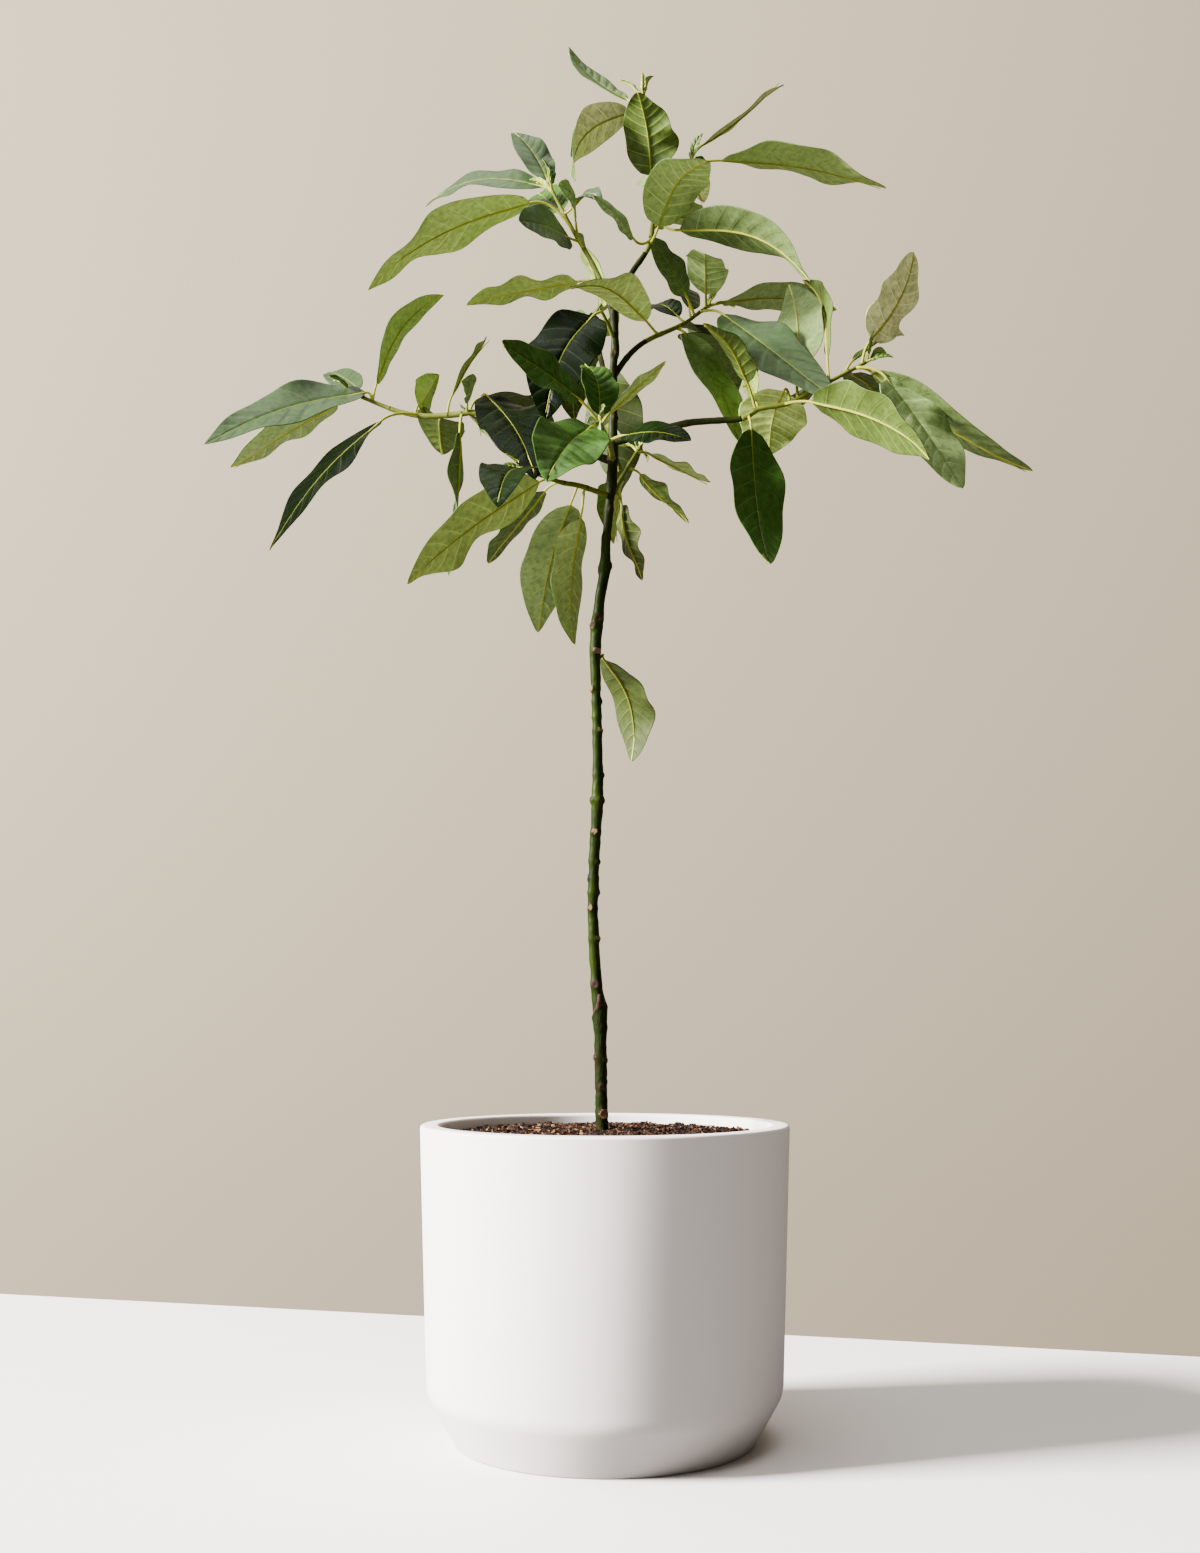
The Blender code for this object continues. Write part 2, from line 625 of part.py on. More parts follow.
def make_plant(collection, cutters):
    """The trunk, the limbs cut clear of it, and the masses of leaves."""
    bark = material("green bark", (0.12, 0.17, 0.05), 0.6)
    green = material("leaf green", (0.09, 0.17, 0.03), 0.45)
    path, radii = trunk_line()
    tube("trunk", path, radii, TRUNK_ROUND, collection, bark)
    trunk_cutter = fattened(path, radii, TRUNK_ROUND, cutters)
    layouts = [lay_out(plan, number) for number, plan in enumerate(SHOOTS)]
    taken = list(path)
    for layout in layouts:
        taken += layout["curve"]
        for plan, root in layout["grown"]:
            taken += outline(plan, root)
    views = [in_front_view(point) for point in taken]
    limb_cutters = [trunk_cutter]
    for layout in reversed(layouts):
        plan = layout["plan"]
        if plan["spiral"]:
            layout["grown"] += spiral_leaves(layout["stem"], plan["spiral"], plan["reach"],
                                             taken, views, layout["draw"])
        if plan["bough"]:
            end = layout["split"] + 1
            bough_path = layout["curve"][:end]
            bough_radii = layout["radii"][:end]
            bough = tube(plan["bough"], bough_path, bough_radii, LIMB_ROUND, collection, bark)
            cut(bough, limb_cutters)
            limb_cutters.append(fattened(bough_path, bough_radii, LIMB_ROUND, cutters))
        stem_cutters = [] if plan["bough"] else limb_cutters
        build_mass(plan, layout["stem"], layout["radii_stem"], layout["grown"],
                   layout["sides"], stem_cutters, collection, green)
    for cutter in list(cutters.objects):
        bpy.data.objects.remove(cutter)


def main():
    for old in list(bpy.data.objects):
        bpy.data.objects.remove(old)
    collection = bpy.data.collections.new("avocado tree in a pot")
    bpy.context.scene.collection.children.link(collection)
    cutters = bpy.data.collections.new("cutters")
    bpy.context.scene.collection.children.link(cutters)
    make_pot(collection)
    make_potting_mix(collection)
    make_plant(collection, cutters)


main()
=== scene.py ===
# %% [markdown]
# # A young avocado tree in a white pot
# The plant is one slim grafted trunk with a few thin boughs, and long drooping leaves on them.
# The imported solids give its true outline. This lesson loads them as a fixed frame and puts a
# finer mesh and a finish over each: a turned pot, chips of bark, a trunk with relief, and
# leaves with folds, waves and veins.

# %% Load the frame
import math
import random

import bmesh
import bpy
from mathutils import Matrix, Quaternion, Vector, noise


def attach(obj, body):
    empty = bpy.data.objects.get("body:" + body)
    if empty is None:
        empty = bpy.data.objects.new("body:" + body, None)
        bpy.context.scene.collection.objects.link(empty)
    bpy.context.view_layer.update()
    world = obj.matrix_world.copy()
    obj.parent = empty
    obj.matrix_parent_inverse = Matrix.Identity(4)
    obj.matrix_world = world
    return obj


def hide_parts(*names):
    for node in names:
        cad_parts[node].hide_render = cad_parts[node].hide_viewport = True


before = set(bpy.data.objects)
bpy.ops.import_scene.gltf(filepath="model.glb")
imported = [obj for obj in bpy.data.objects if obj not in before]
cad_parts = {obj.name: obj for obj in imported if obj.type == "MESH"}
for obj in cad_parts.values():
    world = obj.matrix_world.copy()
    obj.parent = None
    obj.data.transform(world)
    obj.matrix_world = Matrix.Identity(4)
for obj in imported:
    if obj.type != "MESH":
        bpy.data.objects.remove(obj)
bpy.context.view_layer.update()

# %% [markdown]
# ## Sizes
# All sizes are real ones. A place on the plant is given in millimetres to the right of the
# pot's axis, up from the table and back from the axis, as it is seen from one spot in front.

# %% Sizes of the pot, the trunk and the leaves
MM = 0.001
EYE_DISTANCE = 1.364
EYE_HEIGHT = 0.346

POT_HEIGHT = 256.5 * MM
RIM_RADIUS = 150 * MM
WAIST_RADIUS = 145 * MM
WAIST_HEIGHT = 41 * MM
FOOT_RADIUS = 122.5 * MM
WALL = 15.5 * MM
SOIL_LEVEL = 250.5 * MM
SOIL_EDGE = 247 * MM

# height, lean to the right and radius, in mm
TRUNK = (
    (250.5, -2.2, 6.0), (258, -2.4, 5.0), (305, -3.4, 4.8), (340, -4.0, 5.7), (352, -4.3, 6.2),
    (366, -6.6, 4.9), (400, -8.8, 4.4), (432, -9.8, 4.3), (478, -8.4, 4.4), (520, -6.1, 4.7),
    (560, -6.0, 4.1), (612, -7.3, 4.1), (641, -8.1, 4.3), (667, -6.1, 4.9), (684, -4.1, 4.1),
    (706, -0.6, 4.7), (730, 0.8, 3.9), (757, 3.4, 3.7), (798, 6.3, 4.2), (832, 6.6, 3.6),
    (872, 6.9, 3.2), (893, 8.2, 3.5), (921, 7.3, 3.3),
)

STALK_RADIUS = 1.1 * MM
STALK_SHARE = 0.17
STALK_SHORTEST = 9 * MM
STALK_LONGEST = 30 * MM
FIRST_ROOT = 0.05
LAST_ROOT = 0.97
STALK_BEND = 0.45
CURVE_STEPS = 3
SIDE_STEPS = 2
SHOULDER = 0.86
PLAIN_ROUNDNESS = 0.85
PLAIN_TIP_LOSS = 0.3
PLAIN_TIP_POWER = 6
TWIST_POWER = 1.5
FOLD = 0.16
WAVE = 0.06
WAVES_ALONG = 2.6
SWAY = 0.03
TOP_BOW = 0.5

# %% Sizes of the rule that adds leaves at the back
GAP = 0.3 * MM
FIRST_STEP_IN_GAPS = 6
GOLDEN_ANGLE = math.radians(137.5)
ROOT_STEP = 0.37
FIRST_SPIRAL_ROOT = 0.1
SPREAD = (0.1, 0.9)
UPWARD_SPREAD = 0.7
LENGTH_SHARE = (0.6, 0.9)
SPIRAL_TURN = (-55, -15)
SPIRAL_WIDTH = 0.36
SPIRAL_ARCH = 0.06
CLEARANCE = 10 * MM
SAMPLES = 10
STALK_SAMPLE = 0.6
COVER = 6 * MM
COVERED_SHARE = 0.95
TRIES = 150
TINT_SEED = 17
BACK_TINTS = ("dark", "green", "sheen", "light")

# %% [markdown]
# ## The shoots
# Each shoot is a path with the leaves that the photo shows on it. A leaf has its place on the
# twig, where its tip is seen, its width and its turn: 90 shows the upper side, -90 the
# underside. The last word is its tint. Leaves of one tree differ with age, and the tint also
# holds painted light and shade: it is darker where the lamps light a leaf strongly and brighter
# where the leaf lies in shade.


# %% Describe a leaf and a shoot
def leaf(at, right, up, back, width, turn, arch=8, twist=0, lift=0.3, stalk=None, tint="green"):
    """One leaf, with its place on the twig and the spot where its tip is seen."""
    return dict(at=at, tip=(right, up, back), width=width, turn=turn, arch=arch, twist=twist,
                lift=lift, stalk=stalk, tint=tint)


def shoot(mass, path, thick, leaves, bough=None, ends=0, sides=(), spiral=0, reach=150):
    """One shoot: its bough ends at a numbered spot of its path, and its mass goes on."""
    return dict(mass=mass, bough=bough, ends=ends, path=path, thick=thick, leaves=leaves,
                sides=sides, spiral=spiral, reach=reach)


# %% The rows
SHOOTS = (
    shoot("leaves_left", ((6, 797, 0), (-50, 817, 18), (-99, 836, 32), (-124, 835, 40),
                          (-148, 834, 47), (-169, 838, 52), (-190, 846, 56), (-206, 853, 58)),
          (3.2, 1.4), (
              leaf(0.86, -327, 811, 22, 46, 36, arch=6, lift=1.6, stalk=9, tint="blue"),
              leaf(1.0, -305, 790, 118, 44, -32, arch=1, stalk=20, lift=0.1, tint="fresh"),
              leaf(0.46, -274, 725, -20, 38, 27, lift=0.5, stalk=36, tint="bottle"),
              leaf(0.86, -134, 934, 104, 38, -30, arch=9, lift=1.4, stalk=16, tint="light"),
              leaf(0.93, -226, 870, 135, 28, 40, arch=4, tint="blue"),
              leaf(0.5, -138, 867, 104, 28, -50, arch=-1, tint="sheen"),
              leaf(0.3, -133, 801, 128, 44, -70, tint="dark"),
              leaf(0.24, -94, 897, 108, 26, -8, arch=3, lift=0.8, tint="sheen"),
              leaf(0.12, -127, 704, -6, 44, -25, arch=0, twist=60, stalk=20, tint="green"),
              leaf(0.0, -57, 787, -74, 50, 62, arch=3, lift=0.9, stalk=22, tint="bottle"),
              leaf(0.07, -116, 862, -6, 18, 40, tint="fresh"),
              leaf(0.06, -40, 825, 116, 38, -37, lift=1.0, stalk=20, tint="bottle"),
          ), "bough_left", 2, spiral=3),
    shoot("leaves_low_left", ((3, 769, 0), (-20, 777, -18), (-36, 780, -34), (-53, 786, -48),
                              (-66, 790, -58)), (2.4, 1.4), (
        leaf(0.72, -163, 698, -74, 56, -38, arch=6, stalk=9, tint="sheen"),
        leaf(0.6, -96, 715, 16, 37, -28, arch=-1, tint="green"),
        leaf(1.0, -88, 763, -156, 42, 50, tint="dark"),
        leaf(0.34, -54, 657, 66, 49, -60, arch=9, stalk=20, tint="fresh"),
        leaf(0.26, -27, 647, 18, 42, -42, stalk=24, tint="light"),
    )),
    shoot("leaves_front", ((6.5, 798, 0), (4, 810, -38), (-1, 822, -80), (-4, 828, -112)),
          (2.5, 1.4), (
              leaf(0.9, -86, 893, -150, 38, 40, arch=2, stalk=26, tint="green"),
              leaf(0.86, -17, 878, -78, 30, 55, tint="green"),
              leaf(0.95, 50, 878, -132, 22, -25, arch=2, tint="light"),
              leaf(1.0, -46, 785, -212, 53, 65, arch=3, lift=0.2, tint="green"),
              leaf(0.42, 70, 814, -104, 33, 28, arch=4, tint="dark"),
          )),
    shoot("leaves_low_right", ((4, 766, 0), (14, 784, 20), (22, 798, 40), (27, 806, 58)),
          (2.2, 1.3), (
              leaf(0.95, 85, 778, 104, 34, -16, arch=1, tint="light"),
              leaf(0.55, 70, 749, 42, 36, -18, arch=-2, tint="dark"),
              leaf(0.1, 33, 701, 6, 36, -24, arch=-4, tint="bottle"),
              leaf(0.7, 0, 742, 120, 34, -40, tint="dark"),
          ), spiral=2),
    shoot("leaf_on_trunk", ((-8, 632, 0), (-5, 636, 5), (-2, 639, 9)), (1.6, 1.3), (
        leaf(1.0, 24, 552, 62, 50, -40, arch=16, lift=0.2, stalk=4, tint="bottle"),
    )),
    shoot("leaf_at_fork", ((7.5, 896, 0), (3, 908, -8), (-3, 920, -16)), (1.8, 1.3), (
        leaf(1.0, -49, 834, -62, 57, 66, arch=10, lift=0.5, stalk=12, tint="bottle"),
    )),
    shoot("leaves_back", ((6.5, 842, 0), (0, 866, 50), (-4, 884, 100), (-8, 900, 146),
                          (-14, 908, 186)), (3.0, 1.4), (
        leaf(0.1, 11, 780, 136, 58, -62, stalk=16, tint="bottle"),
        leaf(0.35, -27, 831, 180, 42, -43, tint="dark"),
        leaf(0.5, 8, 902, 226, 44, -50, tint="sheen"),
    ), "bough_back", 2, spiral=12),
    shoot("leaves_right_high", ((6.8, 866, 0), (19, 883, 6), (33, 895, 12), (55, 905, 32),
                                (67, 911, 44), (84, 924, 56)), (2.6, 1.4), (
        leaf(0.8, 37, 980, 18, 30, 42, stalk=18, arch=0, tint="sheen"),
        leaf(1.0, 82, 968, -24, 37, -70, tint="fresh"),
        leaf(0.74, 58, 940, 134, 34, 25, tint="green"),
        leaf(0.62, 32, 920, 112, 26, 20, tint="dark"),
        leaf(0.15, -29, 938, -112, 40, -34, arch=13, stalk=22, tint="pale"),
        leaf(0.95, 188, 921, 124, 38, -22, twist=60, stalk=22, arch=7, tint="fresh"),
        leaf(0.9, 189, 845, -75, 52, 45, arch=4, tint="blue"),
        leaf(0.5, 111, 814, 6, 40, 38, arch=3, stalk=8, tint="sheen"),
    ), "bough_right_high", 2, spiral=4),
    shoot("leaves_right_low", ((6, 812, 0), (61, 827, -22), (85, 830, -30), (112, 832, -36),
                               (126, 840, -40), (151, 845, -46), (183, 862, -50),
                               (213, 878, -50)), (3.0, 1.4), (
        leaf(0.07, 80, 909, -92, 34, -28, lift=0.8, stalk=22, tint="dark"),
        leaf(0.42, 151, 940, 60, 50, -63, tint="green"),
        leaf(0.7, 166, 945, 52, 32, -20, lift=0.8, stalk=20, tint="dark"),
        leaf(1.0, 253, 968, -62, 42, -46, stalk=20, arch=-5, tint="lime"),
        leaf(0.75, 348, 787, -38, 48, -28, arch=-5, lift=0.6, stalk=30, tint="green"),
        leaf(0.94, 292, 775, -78, 54, 45, lift=0.5, stalk=26, arch=1, tint="fresh"),
        leaf(0.3, 268, 801, -142, 50, -41, stalk=28, tint="dark"),
        leaf(0.35, 134, 803, -14, 56, -75, arch=8, lift=1.6, stalk=16, tint="pale"),
        leaf(0.0, 133, 711, -84, 48, 50, stalk=14, arch=-9, tint="green"),
        leaf(0.84, 242, 903, 40, 24, -10, arch=3, tint="lime"),
    ), "bough_right_low", 3, spiral=4),
    shoot("leaves_upper_left", ((7, 914, 0), (0, 936, 8), (-11, 960, 16), (-24, 982, 22),
                                (-37, 1006, 26), (-43, 1018, 26)), (2.4, 1.3), (
        leaf(0.58, -196, 940, -6, 54, -27, lift=0.9, stalk=44, arch=10, tint="pale"),
        leaf(0.9, -148, 1008, 96, 34, 25, lift=0.9, arch=13, tint="blue"),
        leaf(1.0, -76, 1069, 62, 29, 55, arch=2, tint="blue"),
        leaf(0.5, -70, 994, -36, 42, 34, lift=0.0, arch=3, tint="blue"),
        leaf(0.74, -56, 1018, 104, 36, 60, arch=0, tint="green"),
        leaf(0.42, -39, 1022, -34, 20, 20, stalk=22, tint="fresh"),
        leaf(0.8, -2, 1009, -10, 16, 20, stalk=10, tint="blue"),
        leaf(0.06, -113, 927, 58, 42, -24, arch=1, lift=0.1, tint="sheen"),
    ), "limb_upper_left", 1, spiral=3),
    shoot("leaves_top", ((7, 917, 0), (14, 931, 0), (22, 951, -4), (33, 967, -6), (38, 981, -6),
                         (40, 1020, 0), (37, 1071, 6), (31, 1095, 8)), (2.8, 1.3), (
        leaf(0.04, -10, 1013, -60, 22, 25, arch=3, lift=-0.44, stalk=23, tint="fresh"),
        leaf(0.94, -29, 1027, -40, 33, -60, arch=15, twist=40, lift=0.4, tint="lime"),
        leaf(1.0, -31, 1132, 40, 27, 22, arch=-4, lift=-0.4, tint="sheen"),
        leaf(0.36, 27, 1099, -48, 46, -63, tint="dark"),
        leaf(0.0, 83, 1041, -74, 50, -57, arch=13, stalk=16, tint="light"),
        leaf(0.2, 168, 945, -60, 46, -31, arch=17, lift=-0.1, stalk=28, tint="green"),
    ), "limb_leader", 3, sides=(
        (0.3, ((50, 1014, 18), (61, 1030, 34), (70, 1041, 42)), (
            leaf(1.0, 143, 1108, 96, 26, -7, arch=-3, tint="lime"),
            leaf(0.95, 229, 1019, 36, 54, -21, arch=8, tint="light"),
            leaf(0.6, 80, 1006, 96, 26, -30, tint="lime"),
        )),
    ), spiral=3),
)
print("shoots:", len(SHOOTS), "placed leaves:", sum(len(row["leaves"]) for row in SHOOTS))

# %% [markdown]
# ## The growing rule
# The same rule as in the solids, with the same seeds, so that each fine leaf lies on its plain
# one. A leaf is a stalk and a midrib with two handles, and leaves at the back are added by the
# golden angle where they touch nothing and leave the gaps open.


# %% Places and curves
def seen(right, up, back):
    """The place of a spot that is seen at right and up, in mm, from the front."""
    reach = (EYE_DISTANCE + back * MM) / EYE_DISTANCE
    return Vector((right * MM * reach, back * MM, EYE_HEIGHT + (up * MM - EYE_HEIGHT) * reach))


def smooth(points, steps):
    """Even steps along a smooth curve through the points."""
    ends = [points[0] * 2 - points[1]] + list(points) + [points[-1] * 2 - points[-2]]
    curve = []
    for before, start, end, after in zip(ends, ends[1:], ends[2:], ends[3:]):
        for step in range(steps):
            t = step / steps
            curve.append(0.5 * (2 * start + (end - before) * t
                                + (2 * before - 5 * start + 4 * end - after) * t ** 2
                                + (3 * start - before - 3 * end + after) * t ** 3))
    return curve + [points[-1].copy()]


def spot(path, share):
    """The point at a share of a path's length."""
    lengths = [(b - a).length for a, b in zip(path, path[1:])]
    left = share * sum(lengths)
    for a, b, length in zip(path, path[1:], lengths):
        if left <= length or b is path[-1]:
            return a.lerp(b, min(left / length, 1.0))
        left -= length


def taper(count, start, end):
    """Radii in metres that narrow evenly from start to end, in mm."""
    return [(start + (end - start) * step / (count - 1)) * MM for step in range(count)]


# %% The leaf's own shape
def midrib(plan, root):
    """The base and tip of the blade, past its stalk."""
    tip = seen(*plan["tip"])
    chord = tip - root
    if plan["stalk"]:
        stalk = plan["stalk"] * MM
    else:
        stalk = min(max(STALK_SHARE * chord.length, STALK_SHORTEST), STALK_LONGEST)
    base = root + (chord.normalized() + Vector((0, 0, plan["lift"]))).normalized() * stalk
    return base, tip


def upper_side(base, tip, turn):
    """The direction in which the leaf's upper side faces."""
    along = (tip - base).normalized()
    towards_eye = Vector((0.0, -EYE_DISTANCE, EYE_HEIGHT)) - (base + tip) / 2
    towards_eye = (towards_eye - along * towards_eye.dot(along)).normalized()
    upwards = along.cross(towards_eye)
    if upwards.z < 0:
        upwards.negate()
    angle = math.radians(turn)
    return (upwards * math.cos(angle) + towards_eye * math.sin(angle)).normalized()


def half_width(share, width):
    """Half the blade's width at a share of its length: widest before the middle."""
    full = 0.5 * width * math.sin(math.pi * share ** SHOULDER) ** PLAIN_ROUNDNESS
    return full * (1 - PLAIN_TIP_LOSS * share ** PLAIN_TIP_POWER)


def blade_point(plan, base, tip, share):
    """Centre, direction, side and upper side of the blade at a share of its length."""
    chord = tip - base
    top = upper_side(base, tip, plan["turn"])
    straight = chord.normalized()
    up = Vector((0, 0, 1)) - straight * straight.z
    bow = (up + TOP_BOW * top).normalized() * plan["arch"] * MM
    sway = straight.cross(top) * plan["sway"] * chord.length
    centre = base + chord * share + (bow + sway) * math.sin(math.pi * share)
    slope = chord + (bow + sway) * math.pi * math.cos(math.pi * share)
    along = slope.normalized()
    top = straight.rotation_difference(along) @ top
    top.rotate(Quaternion(along, -math.radians(plan["twist"]) * share ** TWIST_POWER))
    return centre, along, top.cross(along), top


# %% The spiral rule
def outline(plan, root):
    """Points over the leaf, to tell whether it is clear of others."""
    base, tip = midrib(plan, root)
    points = [root.lerp(base, STALK_SAMPLE)]
    for step in range(SAMPLES):
        share = (step + 0.5) / SAMPLES
        centre, along, side, top = blade_point(plan, base, tip, share)
        half = half_width(share, plan["width"] * MM)
        points += [centre, centre + side * half, centre - side * half]
    return points


def is_clear(points, others):
    """Whether every point keeps its distance from all the others."""
    return all((point - other).length > CLEARANCE for point in points for other in others)


def in_front_view(place):
    """Where a place is seen from the front, in metres on the plane of the pot's axis."""
    scale = EYE_DISTANCE / (EYE_DISTANCE + place.y)
    return Vector((place.x * scale, EYE_HEIGHT + (place.z - EYE_HEIGHT) * scale))


def is_covered(points, views):
    """Whether most of a leaf stays behind what is already seen from the front."""
    hidden = sum(any((in_front_view(point) - view).length < COVER for view in views)
                 for point in points)
    return hidden >= COVERED_SHARE * len(points)


def grow_leaves(stem, leaves, draw):
    """Give each planned leaf its root on the stem and its own seeded wave and sway."""
    grown = []
    for plan in leaves:
        root = spot(stem, FIRST_ROOT + (LAST_ROOT - FIRST_ROOT) * plan["at"])
        plan = dict(plan, phase=draw.uniform(0, math.tau), sway=draw.uniform(-SWAY, SWAY))
        grown.append((plan, root))
    return grown


def spiral_leaves(stem, count, reach, taken, views, draw):
    """Leaves at the back of a stem, turned by the golden angle."""
    grown = []
    for number in range(count * TRIES):
        step = (number * ROOT_STEP) % 1.0
        share = FIRST_SPIRAL_ROOT + (1 - FIRST_SPIRAL_ROOT) * step
        root = spot(stem, share)
        away = (root - Vector((0.0, -EYE_DISTANCE, EYE_HEIGHT))).normalized()
        length = draw.uniform(*LENGTH_SHARE) * reach
        spread = draw.uniform(*SPREAD)
        round_angle = number * GOLDEN_ANGLE
        beside = Vector((math.cos(round_angle), 0.0, UPWARD_SPREAD * math.sin(round_angle)))
        place = root + (away + beside * spread).normalized() * length * MM
        view = in_front_view(place)
        tip = (view.x / MM, view.y / MM, place.y / MM)
        plan = leaf(share, *tip, SPIRAL_WIDTH * length, draw.uniform(*SPIRAL_TURN),
                    arch=SPIRAL_ARCH * length)
        plan = dict(plan, phase=draw.uniform(0, math.tau), sway=draw.uniform(-SWAY, SWAY))
        points = outline(plan, root)
        if len(grown) < count and is_clear(points[1:], taken) and is_covered(points, views):
            grown.append((plan, root))
            taken += points
    return grown


def lay_out(plan, number):
    """A shoot's curve, the part of it that is its bough, and its seeded leaves."""
    draw = random.Random(number + 1)
    points = [seen(*place) for place in plan["path"]]
    curve = smooth(points, CURVE_STEPS)
    split = plan["ends"] * CURVE_STEPS
    stem = curve[split:]
    if plan["bough"]:
        heading = (curve[split] - curve[split - 1]).normalized()
        stem[0] = curve[split] + heading * GAP
        stem.insert(1, curve[split] + heading * FIRST_STEP_IN_GAPS * GAP)
    grown = grow_leaves(stem, plan["leaves"], draw)
    sides = []
    for at, path, leaves in plan["sides"]:
        places = [spot(stem, at)] + [seen(*place) for place in path]
        sides.append(places)
        grown += grow_leaves(smooth(places, SIDE_STEPS), leaves, draw)
    return dict(plan=plan, curve=curve, stem=stem, sides=sides, grown=grown, draw=draw)


# %% Grow the whole plan
layouts = [lay_out(plan, number) for number, plan in enumerate(SHOOTS)]
taken = [Vector((lean * MM, 0.0, height * MM)) for height, lean, thick in TRUNK]
for layout in layouts:
    taken += layout["curve"]
    for plan, root in layout["grown"]:
        taken += outline(plan, root)
views = [in_front_view(point) for point in taken]
tints = random.Random(TINT_SEED)
for layout in reversed(layouts):
    if layout["plan"]["spiral"]:
        added = spiral_leaves(layout["stem"], layout["plan"]["spiral"], layout["plan"]["reach"],
                              taken, views, layout["draw"])
        for plan, root in added:
            plan["tint"] = tints.choice(BACK_TINTS)
        layout["grown"] += added
print("leaves in all:", sum(len(layout["grown"]) for layout in layouts))

# %% [markdown]
# ## Finishes
# One noise effect gives every natural surface its uneven colour and its fine relief. It is a
# node group, so that each material sets its own two colours, size and strength.

# %% A node group for uneven surfaces
PATCH_DETAIL = 5.0
PATCH_ROUGHNESS = 0.62
PATCH_FROM = 0.38
PATCH_TO = 0.68
GRAIN_DETAIL = 4.0
GRAIN_FINENESS = 4.0


def uneven_effect():
    """A group that mixes two colours by noise and gives a mask and a height."""
    group = bpy.data.node_groups.new("uneven", "ShaderNodeTree")
    face = group.interface
    for label, kind, value in (("Colour", "NodeSocketColor", (0.5, 0.5, 0.5, 1)),
                               ("Patch", "NodeSocketColor", (0.2, 0.2, 0.2, 1)),
                               ("Size", "NodeSocketFloat", 100.0),
                               ("Amount", "NodeSocketFloat", 0.5),
                               ("Stretch", "NodeSocketVector", (1.0, 1.0, 1.0))):
        socket = face.new_socket(label, in_out="INPUT", socket_type=kind)
        socket.default_value = value
    for label, kind in (("Colour", "NodeSocketColor"), ("Mask", "NodeSocketFloat"),
                        ("Height", "NodeSocketFloat")):
        face.new_socket(label, in_out="OUTPUT", socket_type=kind)
    nodes = group.nodes
    link = group.links.new
    given = nodes.new("NodeGroupInput")
    result = nodes.new("NodeGroupOutput")
    place = nodes.new("ShaderNodeTexCoord")
    stretched = nodes.new("ShaderNodeVectorMath")
    stretched.operation = "MULTIPLY"
    link(place.outputs["Object"], stretched.inputs[0])
    link(given.outputs["Stretch"], stretched.inputs[1])
    patches = nodes.new("ShaderNodeTexNoise")
    patches.inputs["Detail"].default_value = PATCH_DETAIL
    patches.inputs["Roughness"].default_value = PATCH_ROUGHNESS
    link(stretched.outputs["Vector"], patches.inputs["Vector"])
    link(given.outputs["Size"], patches.inputs["Scale"])
    spread = nodes.new("ShaderNodeMapRange")
    spread.inputs["From Min"].default_value = PATCH_FROM
    spread.inputs["From Max"].default_value = PATCH_TO
    link(patches.outputs["Fac"], spread.inputs["Value"])
    link(given.outputs["Amount"], spread.inputs["To Max"])
    mixed = nodes.new("ShaderNodeMix")
    mixed.data_type = "RGBA"
    link(spread.outputs["Result"], mixed.inputs["Factor"])
    link(given.outputs["Colour"], mixed.inputs["A"])
    link(given.outputs["Patch"], mixed.inputs["B"])
    grain = nodes.new("ShaderNodeTexNoise")
    grain.inputs["Detail"].default_value = GRAIN_DETAIL
    link(stretched.outputs["Vector"], grain.inputs["Vector"])
    finer = nodes.new("ShaderNodeMath")
    finer.operation = "MULTIPLY"
    finer.inputs[1].default_value = GRAIN_FINENESS
    link(given.outputs["Size"], finer.inputs[0])
    link(finer.outputs["Value"], grain.inputs["Scale"])
    link(mixed.outputs["Result"], result.inputs["Colour"])
    link(spread.outputs["Result"], result.inputs["Mask"])
    link(grain.outputs["Fac"], result.inputs["Height"])
    return group


UNEVEN = uneven_effect()


# %% Make one material from the effect
def surface(name, colour, patch, size, amount=0.7, rough=(0.5, 0.6), bump=0.1, depth=0.2,
            stretch=(1, 1, 1), specular=0.5):
    """A material with uneven colour, roughness and relief. depth is in mm."""
    made = bpy.data.materials.new(name)
    made.use_nodes = True
    nodes = made.node_tree.nodes
    link = made.node_tree.links.new
    shader = nodes["Principled BSDF"]
    shader.inputs["Specular IOR Level"].default_value = specular
    effect = nodes.new("ShaderNodeGroup")
    effect.node_tree = UNEVEN
    effect.inputs["Colour"].default_value = (*colour, 1)
    effect.inputs["Patch"].default_value = (*patch, 1)
    effect.inputs["Size"].default_value = size
    effect.inputs["Amount"].default_value = amount
    effect.inputs["Stretch"].default_value = stretch
    link(effect.outputs["Colour"], shader.inputs["Base Color"])
    roughness = nodes.new("ShaderNodeMapRange")
    roughness.inputs["To Min"].default_value = rough[0]
    roughness.inputs["To Max"].default_value = rough[1]
    link(effect.outputs["Mask"], roughness.inputs["Value"])
    link(roughness.outputs["Result"], shader.inputs["Roughness"])
    relief = nodes.new("ShaderNodeBump")
    relief.inputs["Strength"].default_value = bump
    relief.inputs["Distance"].default_value = depth * MM
    link(effect.outputs["Height"], relief.inputs["Height"])
    link(relief.outputs["Normal"], shader.inputs["Normal"])
    return made
